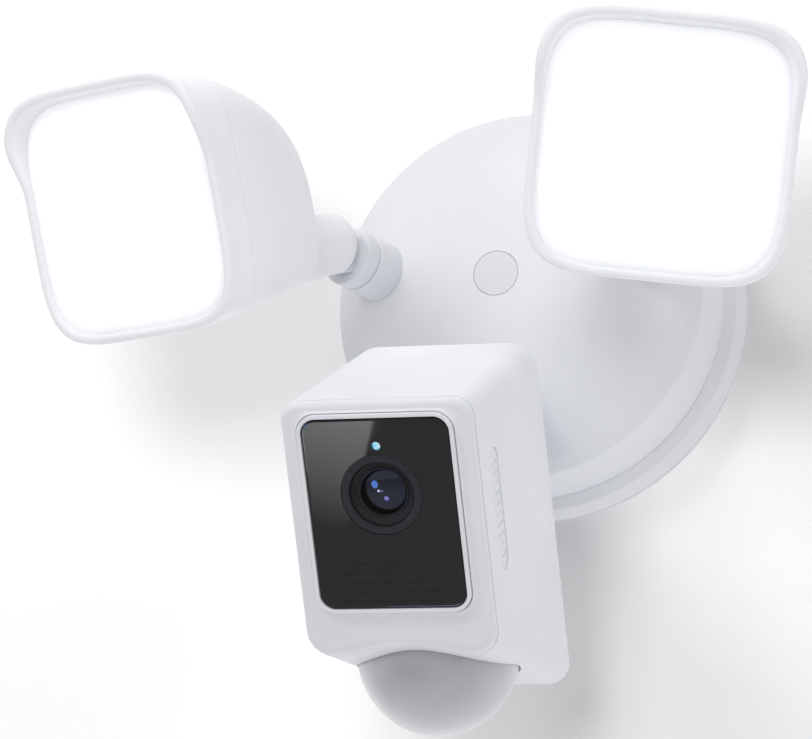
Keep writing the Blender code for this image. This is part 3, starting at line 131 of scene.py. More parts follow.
# %% A drawn-out skin
def drawn(name, rings, loop=False):
    """Extrudes a circle through a row of rings; a loop comes back to its first ring, a plain skin gets two caps."""
    alone()
    bpy.ops.mesh.primitive_circle_add(vertices=len(rings[0]), radius=MM, fill_type="NOTHING")
    obj = bpy.context.object
    obj.name = name
    bpy.ops.object.mode_set(mode="EDIT")
    mesh = bmesh.from_edit_mesh(obj.data)
    first = row = list(mesh.verts)
    for corner, point in zip(row, rings[0]):
        corner.co = point
    for ring in rings[1:] + ([rings[0]] if loop else []):
        bpy.ops.mesh.extrude_region_move()
        row = [
            next(edge.other_vert(corner) for edge in corner.link_edges if edge.other_vert(corner).select)
            for corner in row
        ]
        for corner, point in zip(row, ring):
            corner.co = point
    if not loop:
        bpy.ops.mesh.edge_face_add()
        bpy.ops.mesh.select_all(action="DESELECT")
        for corner in first:
            corner.select_set(True)
        mesh.select_flush(True)
        bpy.ops.mesh.edge_face_add()
    bmesh.update_edit_mesh(obj.data)
    close_up()
    return obj


# %% [markdown]
# Cuts are Booleans with a cutter that is thrown away, and small edges are eased with a Bevel that is applied.


# %% Cut, ease and repeat
def carve(obj, cutter, operation="DIFFERENCE"):
    """Cuts one object with another, or joins it on, and removes the tool."""
    alone(obj)
    bpy.ops.object.modifier_add(type="BOOLEAN")
    modifier = obj.modifiers[-1]
    modifier.operation = operation
    modifier.object = cutter
    bpy.ops.object.modifier_apply(modifier=modifier.name)
    bpy.data.objects.remove(cutter)


def ease_edges(obj, radius_mm, angle_deg=35, segments=3):
    """Bevels every edge sharper than an angle."""
    alone(obj)
    bpy.ops.object.modifier_add(type="BEVEL")
    modifier = obj.modifiers[-1]
    modifier.width = radius_mm * MM
    modifier.segments = segments
    modifier.limit_method = "ANGLE"
    modifier.angle_limit = math.radians(angle_deg)
    bpy.ops.object.modifier_apply(modifier=modifier.name)


def bar(radius_mm, low_mm, high_mm, axis="Z", sides=48):
    """A round bar from low to high along an axis, mostly as a cutter."""
    alone()
    turn = (0, math.pi / 2, 0) if axis == "X" else (0, 0, 0)
    middle = (low_mm + high_mm) / 2 * MM
    place = (middle, 0, 0) if axis == "X" else (0, 0, middle)
    depth = (high_mm - low_mm) * MM
    bpy.ops.mesh.primitive_cylinder_add(
        vertices=sides, radius=radius_mm * MM, depth=depth, location=place, rotation=turn
    )
    return bpy.context.object


def settle(obj):
    """Writes an object's place, turn and size into its mesh."""
    alone(obj)
    bpy.ops.object.transform_apply(location=True, rotation=True, scale=True)


def block(low_mm, high_mm):
    """A box between two corners."""
    alone()
    low = Vector(low_mm) * MM
    high = Vector(high_mm) * MM
    bpy.ops.mesh.primitive_cube_add(size=1, location=(low + high) / 2, scale=high - low)
    settle(bpy.context.object)
    return bpy.context.object


def repeat(obj):
    """A copy with its own mesh."""
    alone(obj)
    bpy.ops.object.duplicate(linked=False)
    return bpy.context.object


SMOOTH_DEG = 32


def fit(obj, name, place, body, nodes, look):
    """Puts a finished piece at its place in the lamp, for good: mesh, shading, material, body and solid."""
    obj.matrix_world = place @ obj.matrix_world
    settle(obj)
    bpy.ops.object.shade_smooth_by_angle(angle=math.radians(SMOOTH_DEG))
    obj.name = name
    obj.data.name = name
    obj.data.materials.clear()
    obj.data.materials.append(look)
    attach(obj, body)
    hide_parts(*nodes)
    print(f"{name}: {len(obj.data.polygons)} faces on {body}")
    return obj


# %% [markdown]
# ## Finishes
# Colours are written as the hex values that a screen shows and turned to linear light by one function.
# Patterns are measured in millimetres: a texture that should repeat every P mm gets a scale of 1000 / P,
# because Object coordinates are in metres.


# %% Colour and nodes
def linear(code):
    """sRGB hex to linear RGBA."""
    values = [int(code[i : i + 2], 16) / 255 for i in (1, 3, 5)]
    return (*[v / 12.92 if v <= 0.04045 else ((v + 0.055) / 1.055) ** 2.4 for v in values], 1.0)


def every(size_mm):
    """Texture scale for a pattern of that size."""
    return 1000.0 / size_mm


def feed(tree, node, sockets):
    """Gives each socket a number or a colour, or links an output to it: for a node, its first one."""
    for key, value in dict(sockets).items():
        if isinstance(value, bpy.types.Node):
            value = value.outputs[0]
        if isinstance(value, bpy.types.NodeSocket):
            tree.links.new(value, node.inputs[key])
        else:
            node.inputs[key].default_value = value


def add(tree, kind, sockets=(), **settings):
    """Adds one node, with its settings and what its sockets get."""
    node = tree.nodes.new("ShaderNode" + kind)
    for key, value in settings.items():
        setattr(node, key, value)
    feed(tree, node, sockets)
    return node


def new_finish(name):
    """A node material with its tree, its Principled shader and its Object coordinates."""
    made = bpy.data.materials.new(name)
    made.use_nodes = True
    tree = made.node_tree
    return made, tree, tree.nodes["Principled BSDF"], add(tree, "TexCoord").outputs["Object"]


def noise(tree, coords, size_mm, detail):
    """A cloudy pattern of that size."""
    return add(tree, "TexNoise", {"Vector": coords, "Scale": every(size_mm), "Detail": detail}).outputs["Fac"]


def level_between(tree, factor, low, high):
    """A number from low to high as a factor goes from 0 to 1."""
    return add(tree, "MapRange", {"Value": factor, "To Min": low, "To Max": high}).outputs["Result"]


def relief(tree, height, strength, depth_mm):
    """The surface's direction with a shallow relief on it."""
    return add(tree, "Bump", {"Height": height, "Strength": strength, "Distance": depth_mm * MM}).outputs["Normal"]


def ramp_between(tree, factor, low_hex, high_hex, low_at=0.3, high_at=0.7):
    """Colours from low to high as a factor grows."""
    ramp = add(tree, "ValToRGB", {"Fac": factor})
    ramp.color_ramp.elements[0].color = linear(low_hex)
    ramp.color_ramp.elements[0].position = low_at
    ramp.color_ramp.elements[1].color = linear(high_hex)
    ramp.color_ramp.elements[1].position = high_at
    return ramp.outputs["Color"]


# %% [markdown]
# The shells are white ASA, a weatherproof plastic, moulded in a tool whose walls were spark eroded. That leaves a
# fine matt grain that spreads the light softly. The real grain is about 0.1 mm, too fine for the picture, so it is
# drawn at 0.7 mm and very shallow. Slow waves in colour and gloss are the flow of the plastic in the tool. The lamp
# heads'
# shell and hood get a painted glow: a faint white emission that brightens them at and near the rim. Their meshes carry
# its strength as a number.


# %% Moulded plastics
FLOW_MM = 45


def moulded(name, pale_hex, deep_hex, rough, grain_mm, grain_depth_mm, ior, rough_swing=0.06):
    made, tree, shader, coords = new_finish(name)
    flow = noise(tree, coords, FLOW_MM, 3.0)
    grain = noise(tree, coords, grain_mm, 2.0)
    look = {
        "Base Color": ramp_between(tree, flow, deep_hex, pale_hex),
        "Roughness": level_between(tree, flow, rough + rough_swing, rough - rough_swing),
        "Normal": relief(tree, grain, 0.35, grain_depth_mm),
        "IOR": ior,
    }
    feed(tree, shader, look)
    return made


asa_shell = moulded("ASA_white_spark_eroded", "#e9eaed", "#e3e4e8", 0.46, 0.7, 0.025, 1.51)
asa_arm = moulded("ASA_white_satin_moulded", "#e6e7ea", "#dfe0e5", 0.34, 0.9, 0.03, 1.51)
asa_lamp_painted_glow = moulded("ASA_bright_white_spark_eroded_painted_glow", "#f4f4f6", "#eff0f2", 0.48, 0.7, 0.025, 1.51)
silicone_plug = moulded("silicone_white_moulded", "#e3e3e6", "#dcdce0", 0.55, 0.8, 0.04, 1.41)
pc_barrel = moulded("polycarbonate_black_satin", "#1a1a1b", "#161617", 0.42, 0.6, 0.03, 1.3)
pa_speaker = moulded("polyamide_black_matt", "#1b1b1d", "#141416", 0.6, 0.8, 0.05, 1.53)
pa_terminal = moulded("polyamide_green_moulded", "#2f9a57", "#27864a", 0.45, 0.8, 0.05, 1.53)
silicone_seal = moulded("silicone_black_moulded", "#232324", "#1a1a1b", 0.62, 0.7, 0.05, 1.41)
foam_gasket = moulded("EPDM_foam_die_cut", "#2a2a2b", "#161617", 0.93, 0.9, 0.35, 1.45, 0.04)
# Painted glow: a white emission of strength 0.04 on the lamp shells and hoods, scaled by the number their meshes
# carry, so they look more brightly lit.
tree = asa_lamp_painted_glow.node_tree
painted_glow = add(tree, "Attribute", attribute_name="painted_glow").outputs["Fac"]
glow = ramp_between(tree, painted_glow, "#000000", "#ffffff", 0.0, 1.0)
feed(tree, tree.nodes["Principled BSDF"], {"Emission Color": glow, "Emission Strength": 0.04})
print("plastics:", len(bpy.data.materials))

# %% [markdown]
# Each lamp face is an opal acrylic diffuser with white light behind it. Lit, it is the brightest thing on the wall
# and hides its own surface, so the glow only drifts a little. Towards its rim it dims, because the diodes stop short
# of the edge: the mesh carries that as a number called rim.

# %% Lit diffuser and status light
opal_lit, tree, shader, coords = new_finish("acrylic_opal_lit")
cloud = noise(tree, coords, 18, 2.0)
white = ramp_between(tree, cloud, "#fbfcfe", "#ffffff")
rim_share = add(tree, "Attribute", attribute_name="rim").outputs["Fac"]
edge = ramp_between(tree, rim_share, "#ffffff", "#cfd0d3", 0.0, 1.0)
glow = add(tree, "Mix", {"Factor": 1.0, 6: white, 7: edge}, data_type="RGBA", blend_type="MULTIPLY").outputs[2]
body = ramp_between(tree, cloud, "#b0b1b4", "#b6b7ba")
feed(tree, shader, {"Base Color": body, "Roughness": 0.38, "IOR": 1.49})
feed(tree, shader, {"Emission Color": glow, "Emission Strength": 0.75})

pipe_lit, tree, shader, coords = new_finish("polycarbonate_clear_light_pipe_lit")
core = noise(tree, coords, 1.1, 1.0)
glow = ramp_between(tree, core, "#5cc8ee", "#d4f6ff", 0.35, 0.6)
body = ramp_between(tree, core, "#1f4a58", "#2c5c6a")
feed(tree, shader, {"Base Color": body, "Roughness": 0.2, "IOR": 1.58})
feed(tree, shader, {"Emission Color": glow, "Emission Strength": 0.75})
print("lit:", opal_lit.name, pipe_lit.name)

# %% [markdown]
# The camera looks out through black acrylic, polished like a mirror, with faint wipe marks. The lens behind it is
# optical glass with a coating that reflects blue and violet, so its tint sits on the reflection. The dark inside
# of the lens shows warm under it, and the two together look nearly grey. The motion sensor's dome is polyethylene,
# which infrared passes. It is milky, so light sinks into it and spreads, and its smooth skin is palest at the rim.

# %% Window, lens and sensor dome
acrylic_black, tree, shader, coords = new_finish("acrylic_black_polished")
wipe = add(tree, "Mapping", {"Vector": coords, "Scale": (1.0, 1.0, 0.15)}).outputs["Vector"]
marks = noise(tree, wipe, 6, 4.0)
colour = ramp_between(tree, marks, "#070708", "#0b0b0c")
feed(tree, shader, {"Base Color": colour, "Roughness": level_between(tree, marks, 0.01, 0.035), "IOR": 1.4})

glass_coated, tree, shader, coords = new_finish("optical_glass_coated")
colour = ramp_between(tree, noise(tree, coords, 3, 1.0), "#1a1814", "#1d1b17")
feed(tree, shader, {"Base Color": colour, "Roughness": 0.04, "IOR": 1.55, "Specular Tint": linear("#9db0e2")})
feed(tree, shader, {"Coat Weight": 0.15, "Coat Roughness": 0.03})

pe_dome, tree, shader, coords = new_finish("polyethylene_milky_moulded")
colour = ramp_between(tree, noise(tree, coords, 14, 2.0), "#a6a6ab", "#afafb4")
facets = add(tree, "TexVoronoi", {"Vector": coords, "Scale": every(6)}, feature="SMOOTH_F1").outputs["Distance"]
feed(tree, shader, {"Base Color": colour, "Normal": relief(tree, facets, 0.12, 0.15), "Roughness": 0.34, "IOR": 1.6})
feed(tree, shader, {"Subsurface Weight": 0.25, "Subsurface Radius": (1.0, 0.95, 0.95), "Subsurface Scale": 3 * MM})
feed(tree, shader, {"Coat Weight": 1.0, "Coat Roughness": 0.35, "Coat IOR": 1.9})
feed(tree, shader, {"Sheen Weight": 1.0, "Sheen Roughness": 0.55})
print("camera finishes:", acrylic_black.name, glass_coated.name, pe_dome.name)

# %% [markdown]
# Metals and boards are mostly hidden, but the wall side shows some of them. Zinc-plated steel has a pale blue cast
# and drawn lines from rolling. An extruded heat sink has fine die lines. Boards have copper tracks under green
# or white solder resist, drawn here as a brick pattern of about 3 mm.


# %% Metals
def drawn_metal(name, pale_hex, deep_hex, rough, line_mm, line_scale):
    made, tree, shader, coords = new_finish(name)
    rolled = add(tree, "Mapping", {"Vector": coords, "Scale": line_scale}).outputs["Vector"]
    lines = noise(tree, rolled, line_mm, 5.0)
    look = {
        "Base Color": ramp_between(tree, lines, deep_hex, pale_hex),
        "Roughness": level_between(tree, lines, rough - 0.08, rough + 0.1),
        "Normal": relief(tree, lines, 0.15, 0.03),
        "Metallic": 1.0,
    }
    feed(tree, shader, look)
    return made


zinc_sheet = drawn_metal("steel_zinc_plated_stamped", "#c4c7cb", "#aeb2b8", 0.36, 1.2, (0.08, 1.0, 1.0))
zinc_screw = drawn_metal("steel_zinc_plated_machined", "#bfc2c6", "#a9adb2", 0.3, 0.8, (1.0, 0.2, 1.0))
aluminium_sink = drawn_metal("aluminium_extruded", "#d3d4d6", "#bfc1c4", 0.38, 0.9, (1.0, 0.06, 1.0))


# %% Boards, tape and sleeve
BRICK_MM = 12
WAVES_PER_SCALE = 20


def circuit_board(name, mask_hex, track_hex, rough):
    made, tree, shader, coords = new_finish(name)
    mask, track = linear(mask_hex), linear(track_hex)
    tracks = add(tree, "TexBrick", {"Vector": coords, "Scale": every(BRICK_MM), "Mortar Size": 0.035})
    feed(tree, tracks, {"Color1": mask, "Color2": mask, "Mortar": track})
    raised = relief(tree, tracks.outputs["Fac"], 0.3, 0.04)
    feed(tree, shader, {"Base Color": tracks.outputs["Color"], "Normal": raised, "Roughness": rough, "IOR": 1.55})
    return made


def banded(name, pale_hex, deep_hex, rough, band_mm):
    made, tree, shader, coords = new_finish(name)
    pitch = every(band_mm) / WAVES_PER_SCALE
    bands = add(tree, "TexWave", {"Vector": coords, "Scale": pitch, "Distortion": 0.6}).outputs["Fac"]
    colour = ramp_between(tree, bands, deep_hex, pale_hex, 0.1, 0.6)
    feed(tree, shader, {"Base Color": colour, "Roughness": rough, "IOR": 1.54})
    return made


board_green = circuit_board("FR4_green_solder_resist", "#1d6b3a", "#2f8a50", 0.38)
board_white = circuit_board("FR4_white_solder_resist", "#ecece8", "#dcdcd6", 0.45)
tape_yellow = banded("polyester_tape_wound", "#dcb64a", "#c79f35", 0.4, 4.0)
sleeve_dark = banded("PVC_shrink_sleeve", "#23232b", "#191920", 0.32, 6.0)
print("finishes:", len(bpy.data.materials))

# %% [markdown]
# ## Carried-over solids
# Pieces that sit inside the shells, or flat against the wall, already have the right shape.
# They keep their solid and only get a finish.

# %% Finish the solids that stay
kept = (
    (board_green, ("driver_board", "main_board", "sensor_board", "pir_board")),
    (board_white, ("left_led_board", "right_led_board")),
    (aluminium_sink, ("left_heat_sink", "right_heat_sink")),
    (tape_yellow, ("transformer",)),
    (sleeve_dark, ("bulk_capacitor",)),
    (pa_terminal, ("terminal_block",)),
    (pa_speaker, ("speaker",)),
    (silicone_seal, ("wire_grommet", "cover_seal", "left_lens_gasket", "right_lens_gasket")),
    (silicone_seal, ("left_thrust_washer", "right_thrust_washer", "camera_thrust_washer")),
    (zinc_screw, ("mounting_bolt", "left_lock_nut", "right_lock_nut", "camera_lock_nut")),
)
for look, nodes in kept:
    for node in nodes:
        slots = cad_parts[node].data.materials
        slots.clear()
        slots.append(look)
print("solids kept:", sum(len(nodes) for look, nodes in kept))

# %% [markdown]
# ## The base
# The base is all turned work. Its frame stands on the wall: local z points away from the wall and local y up,
# so the wall frame is a quarter turn about X. The back plate is the flange with a sloped rim and a groove
# in front of it; the cover is a steep wall that rolls over into a shallow dome of about 90 mm radius.

# %% Flange and cover
def about(axis, degrees):
    """A turn about one axis."""
    return Matrix.Rotation(math.radians(degrees), 4, axis)


wall_frame = about("X", 90)
GAP = 0.3
FLANGE_R = 70.0
FLANGE_H = 10.0
PLATE_BACK = 2.0
PLATE_FRONT = 5.0
BOLT_CLEAR_R = 6.0
SEAT_R = 67.6
SHOULDER_H = 32.6
FOOT_H = 10.3
CREASE_R = 59.7
CREASE_H = 36.6
DOME_H = 59.3
DOME_SAG = DOME_H - CREASE_H
DOME_R = (CREASE_R**2 + DOME_SAG**2) / (2 * DOME_SAG)
DOME_C = DOME_H - DOME_R
SHELL = 2.2


def dome(radius, inset=0.0):
    """Height of the dome, or of the shell's inside, at a radius."""
    return DOME_C + math.sqrt((DOME_R - inset) ** 2 - radius**2)


flange = turned(
    "flange",
    [(BOLT_CLEAR_R, PLATE_BACK), (SEAT_R, PLATE_BACK), (SEAT_R, 0.6, 0.2)]
    + [(FLANGE_R - 0.3, 0.6, 0.3), (FLANGE_R, 1.3, 0.4), (68.0, 7.3, 1.2), (64.4, FLANGE_H, 0.8)]
    + [(CREASE_R, FLANGE_H), (CREASE_R, PLATE_FRONT), (BOLT_CLEAR_R, PLATE_FRONT), (BOLT_CLEAR_R, PLATE_BACK)],
    FINE_TURN,
)
grommet_hole = bar(10.0, 0.0, 12.0)
grommet_hole.location.y = 28.0 * MM
carve(flange, grommet_hole)
fit(flange, "flange_plate", wall_frame, "base", ["back_plate"], asa_shell)

PLUG_R = 7.5
BOSS_R = 10.0
BOLT_HOLE_R = 2.8
DOME_STEPS = 26
recess = PLUG_R + 0.12
recess_floor = dome(recess) - 3.3
outside = []
inside = []
for step in range(DOME_STEPS + 1):
    radius = recess + (CREASE_R - recess) * step / DOME_STEPS
    outside.append((radius, dome(radius)))
    inner = BOSS_R + (CREASE_R - SHELL - BOSS_R) * step / DOME_STEPS
    inside.append((inner, dome(inner, SHELL)))
outside[0] = (recess + 0.15, dome(recess))
outside[-1] = (*outside[-1], 2.6)
cover = turned(
    "cover",
    [(recess, recess_floor), (recess, dome(recess) - 0.15)]
    + outside
    + [(63.4, SHOULDER_H, 3.0), (64.6, FOOT_H + 0.5, 0.4), (64.1, FOOT_H), (62.5, FOOT_H), (61.2, SHOULDER_H)]
    + inside[::-1]
    + [(BOSS_R, 12.0), (BOLT_HOLE_R, 12.0), (BOLT_HOLE_R, recess_floor), (recess, recess_floor)],
    FINE_TURN,
)

# %% [markdown]
# A soft plug closes the hole of the long mounting bolt in the middle of the dome. It sits flush, so all that shows is
# the fine ring round it.

# %% Plug
plug = turned(
    "plug",
    [(0.0, dome(0.0)), (2.5, dome(2.5)), (5.0, dome(5.0)), (PLUG_R, dome(PLUG_R), 0.2)]
    + [(PLUG_R, dome(PLUG_R) - 2.8, 0.3), (0.0, dome(PLUG_R) - 2.8)],
)
fit(plug, "centre_plug", wall_frame, "base", ["centre_cap"], silicone_plug)

# %% [markdown]
# ## The arms
# Each arm starts at a socket on the dome. A knuckle turns in the socket about the arm's own line, and a pin across the
# knuckle lets the head tilt. One function stands a frame at the pin, with z along the arm, from the same angles
# as the solids: how far the arm points outwards and up, and how far the head is swivelled and tilted.


# %% Frames at the three pins
def arm_frame(pivot_mm, outward_deg, up_deg):
    place = Matrix.Translation(Vector(pivot_mm) * MM)
    return place @ about("Z", outward_deg) @ wall_frame @ about("X", -up_deg)


CAMERA_DOWN_DEG = 28.8
CAMERA_DOWN = math.radians(CAMERA_DOWN_DEG)
camera_reach = DOME_R + 41.6
camera_pin = (0.0, -DOME_C - camera_reach * math.cos(CAMERA_DOWN), -camera_reach * math.sin(CAMERA_DOWN))
arm_angles = {
    "left": ((-54.0, -75.1, 10.9), -20.8, 4.8, 4.3, 25.4),
    "right": ((54.0, -75.1, 10.9), 20.8, 4.8, 6.1, 25.9),
    "camera": (camera_pin, 0.0, -CAMERA_DOWN_DEG, 4.1, 3.4),
}
arms = {}
knuckles = {}
heads = {}
for arm, (pivot, outward, up, swivel, tilt) in arm_angles.items():
    arms[arm] = arm_frame(pivot, outward, up)
    knuckles[arm] = arms[arm] @ about("Z", -swivel)
    heads[arm] = knuckles[arm] @ about("X", tilt)
    print(f"{arm} pin at", [round(v / MM, 1) for v in heads[arm].translation], "mm")

# %% [markdown]
# A socket is a short barrel with an eased mouth, cut to the dome by a sphere so that it stands on it
# with a hairline gap. The cover gets the three holes that the sockets reach through.

# %% Sockets
NECK_R = 11.0
COLLAR_FRONT = NECK_R + 0.8
COLLAR_BACK = COLLAR_FRONT + 5.7
SOCKET_FRONT = COLLAR_BACK + GAP
SOCKET_R = 10.0
SOCKET_BORE = 6.3
SPIGOT_R = 8.0
HAIRLINE = 0.15


def reach_to_dome(matrix):
    """Distance back along an arm from its pin to the dome, in mm."""
    ray = -matrix.col[2].to_3d()
    start = matrix.col[3].to_3d() / MM - Vector((0.0, -DOME_C, 0.0))
    middle = -start.dot(ray)
    return middle - math.sqrt(middle**2 - start.length_squared + DOME_R**2)


for arm, matrix in arms.items():
    reach = reach_to_dome(matrix)
    barrel = turned(
        "barrel",
        [(SOCKET_BORE, -SOCKET_FRONT - 0.4), (SOCKET_BORE + 0.5, -SOCKET_FRONT), (SOCKET_R, -SOCKET_FRONT, 0.7)]
        + [(SOCKET_R, -reach - 8.0), (SOCKET_BORE, -reach - 8.0), (SOCKET_BORE, -SOCKET_FRONT - 0.4)],
    )
    barrel.matrix_world = matrix
    alone()
    bpy.ops.mesh.primitive_uv_sphere_add(
        segments=128, ring_count=64, radius=(DOME_R + HAIRLINE) * MM, location=(0, -DOME_C * MM, 0)
    )
    carve(barrel, bpy.context.object)
    settle(barrel)
    spigot = turned(
        "spigot",
        [(SOCKET_BORE, -reach + 2.5), (SPIGOT_R, -reach + 2.5), (SPIGOT_R, -reach - 5.0, 0.4)]
        + [(SOCKET_BORE, -reach - 5.0), (SOCKET_BORE, -reach + 2.5)],
    )
    spigot.matrix_world = matrix
    carve(barrel, spigot, "UNION")
    fit(barrel, f"{arm}_socket", Matrix.Identity(4), "base", [f"{arm}_arm_socket"], asa_arm)
    hole = bar(SPIGOT_R + GAP, -reach - 12.0, -reach + 12.0)
    hole.matrix_world = wall_frame.inverted() @ matrix @ hole.matrix_world
    carve(cover, hole)
fit(cover, "dome_cover", wall_frame, "base", ["base_cover"], asa_shell)

# %% [markdown]
# The knuckle is a turned collar and shaft with a flat tongue. The tongue starts as a short bar across the arm:
# its back half is pulled towards the collar, which makes the rounded end and the flat sides in one move.

# %% Knuckles
TONGUE_R = 7.0
COLLAR_R = 9.8
SHAFT_R = 6.0
PIN_HOLE_R = 2.8
HAIR = 0.001


def stretch(obj, picks, shift_mm):
    """Moves the corners that a test picks by their place, and so draws out that half of a piece."""
    alone(obj)
    bpy.ops.object.mode_set(mode="EDIT")
    bpy.ops.mesh.select_all(action="DESELECT")
    mesh = bmesh.from_edit_mesh(obj.data)
    for corner in mesh.verts:
        corner.select_set(picks(corner.co / MM))
    mesh.select_flush(True)
    bpy.ops.transform.translate(value=Vector(shift_mm) * MM)
    bpy.ops.object.mode_set(mode="OBJECT")


for arm, matrix in knuckles.items():
    reach = reach_to_dome(arms[arm])
    tail = -reach - 12.2
    knuckle = turned(
        "knuckle",
        [(0.0, -COLLAR_FRONT), (COLLAR_R, -COLLAR_FRONT, 0.8), (COLLAR_R, -COLLAR_BACK, 0.5)]
        + [(SHAFT_R, -COLLAR_BACK), (SHAFT_R, tail, 0.6), (0.0, tail)],
    )
    tongue = bar(TONGUE_R, -4.0, 4.0, "X")
    settle(tongue)
    stretch(tongue, lambda at: at.z < -HAIR, (0.0, 0.0, -COLLAR_BACK + 2.5 + TONGUE_R))
    ease_edges(tongue, 0.6, 60)
    carve(knuckle, tongue, "UNION")
    carve(knuckle, bar(PIN_HOLE_R, -12.0, 12.0, "X"))
    fit(knuckle, f"{arm}_turning_knuckle", matrix, f"{arm}_arm", [f"{arm}_knuckle"], asa_arm)

# %% [markdown]
# The tilt pin is a plain ground pin with a hexagon socket in its open end. It is made once and copied.

# %% Tilt pins
pin = turned("pin", [(0.0, -8.8), (2.5, -8.8, 0.35), (2.5, 8.8, 0.35), (0.0, 8.8)], 48)
carve(pin, bar(1.35, -9.5, -6.6, "Z", 6))
pin.rotation_euler = (0, math.pi / 2, 0)
settle(pin)
head_body = {"left": "left_lamp", "right": "right_lamp", "camera": "camera_head"}
for arm, body in head_body.items():
    fit(repeat(pin), f"{arm}_pin", heads[arm], body, [f"{arm}_tilt_pin"], zinc_screw)
bpy.data.objects.remove(pin)


# %% [markdown]
# A head's neck ends in a ball that is slotted for the tongue and bored for the pin, from the left side only.


# %% Fork in a neck
def fork(obj):
    carve(obj, block((-4.3, -22.0, -22.0), (4.3, 22.0, 7.3)))
    carve(obj, bar(PIN_HOLE_R, -22.0, 9.1, "X"))


# %% [markdown]
# ## The lamp heads
# A lamp head swells from the round neck into a rounded square. The square's corners aren't arcs: its sides bow a
# little all the way, so the section is a superellipse whose power grows from 2, a circle, to 4.8 at the rim.

# %% Lamp sections
LAMP_HALF = 40.3
LAMP_POINTS = 144
FACE = 94.3
RIM_BACK = FACE - 13.1
LAMP_BACK = 24.5
NECK_IN = 0.8
FLOOR_DROP = 6.2
LAMP_UP = LAMP_HALF - NECK_IN - NECK_R - FLOOR_DROP
ROUND = 2.0
SQUARENESS = 4.8
SWELL_ROOT = 0.35


def squircle(half, up, ahead, power):
    """Rounded square of half its width, as a ring of points round z."""
    ring = []
    for i in range(LAMP_POINTS):
        even = math.tau * (i + 0.5) / LAMP_POINTS
        angle = even + 0.1 * math.sin(4 * even)
        across, along = math.cos(angle), math.sin(angle)
        radius = half / (abs(across) ** power + abs(along) ** power) ** (1 / power)
        ring.append(Vector((radius * across, up + radius * along, ahead)) * MM)
    return ring


def lamp_section(share, inset):
    """Section of the lamp's back, from the neck at share 0 to the rim at share 1."""
    swell = share**SWELL_ROOT
    half = NECK_R + (LAMP_HALF - NECK_IN - NECK_R) * swell
    floor = -NECK_R - FLOOR_DROP * share
    ahead = LAMP_BACK + (RIM_BACK - LAMP_BACK) * share
    return squircle(half - inset, floor + half, ahead, ROUND + (SQUARENESS - ROUND) * swell)


# %% Lamp housing
ball = [
    squircle(NECK_R * math.cos(angle), 0.0, -NECK_R * math.sin(angle), ROUND)
    for angle in [math.radians(90 - 7.5 * step) for step in range(13)]
]
flare = [squircle(NECK_R + grow, 0.0, ahead, ROUND) for grow, ahead in ((0.0, 21.0), (0.25, 22.8), (0.8, 24.0))]
shares = [(step / 30) ** 2.4 for step in range(3, 31)]
back = [lamp_section(share, 0.0) for share in shares]
hollow = [lamp_section(share, SHELL) for share in shares[3::2]]
lamp_housing = drawn("lamp_housing", ball + flare + back + hollow[::-1])
fork(lamp_housing)
PAINTED_GLOW_FADE = 20.0


def carry(obj, name, number_at):
    """Give every corner of a mesh a number between 0 and 1, worked out from its place in mm."""
    numbers = obj.data.attributes.new(name, "FLOAT", "POINT")
    for corner, number in zip(obj.data.vertices, numbers.data):
        number.value = min(max(number_at(corner.co / MM), 0.0), 1.0)


# The shell's painted glow is full at the rim and fades to none 20 mm behind it.
carry(lamp_housing, "painted_glow", lambda at: 1 - (RIM_BACK - at.z) / PAINTED_GLOW_FADE)

# %% [markdown]
# The bezel is one loop of rings: up the outside, over a rounded lip, down the inside to the ledge that holds the
# diffuser, and back. Over the top and the upper corners the lip runs forward and a little outwards, and becomes
# the hood that keeps rain and glare off the lamp.

# %% Lamp bezel with its hood
RIM_WALL = 3.0
HOOD_LENGTH = 5.0
HOOD_FLARE = 1.4
HOOD_START = 0.23
HOOD_SPAN = 0.47
LIP_STEPS = 8
LEDGE_HALF = 33.6
LENS_FRONT = FACE - 1.3


def rim(half, ahead):
    return squircle(half, LAMP_UP, ahead, SQUARENESS)


def hooded(half, ahead, amount):
    """A rim ring that the hood carries forwards and outwards by a share of its full size."""
    ring = []
    for point in rim(half, ahead):
        height = (point.y / MM - LAMP_UP) / LAMP_HALF
        share = min(max((height - HOOD_START) / HOOD_SPAN, 0.0), 1.0)
        share = share * share * (3 - 2 * share) * amount
        outward = Vector((point.x, point.y - LAMP_UP * MM, 0.0)) * (HOOD_FLARE / LAMP_HALF * share)
        ring.append(point + outward + Vector((0.0, 0.0, HOOD_LENGTH * MM * share)))
    return ring


inner_half = LAMP_HALF - RIM_WALL
half_wall = RIM_WALL / 2
rim_half = LAMP_HALF - NECK_IN
rings = [rim(rim_half - 0.1, RIM_BACK + 0.05), rim(rim_half + 0.05, RIM_BACK + 0.25)]
for step in range(1, 5):
    share = step / 4
    ahead = RIM_BACK + 0.25 + (FACE - half_wall - 0.75 - RIM_BACK) * share
    rings.append(rim(rim_half + 0.05 + 0.75 * share, ahead))
rings += [hooded(LAMP_HALF, FACE - half_wall, amount) for amount in (0.0, 0.25, 0.5, 0.75, 1.0)]
for step in range(1, LIP_STEPS):
    angle = math.pi * step / LIP_STEPS
    half = LAMP_HALF - half_wall + half_wall * math.cos(angle)
    rings.append(hooded(half, FACE - half_wall + half_wall * math.sin(angle), 1.0))
rings += [hooded(inner_half, FACE - half_wall, amount) for amount in (1.0, 0.75, 0.5, 0.25, 0.0)]
ledge = LENS_FRONT - 5.0
rings += [rim(inner_half, ledge), rim(LEDGE_HALF, ledge), rim(LEDGE_HALF, ledge - 2.0)]
rings += [rim(inner_half - NECK_IN, ledge - 2.0), rim(inner_half - NECK_IN, RIM_BACK + 0.05)]
lamp_bezel = drawn("lamp_bezel", rings, loop=True)
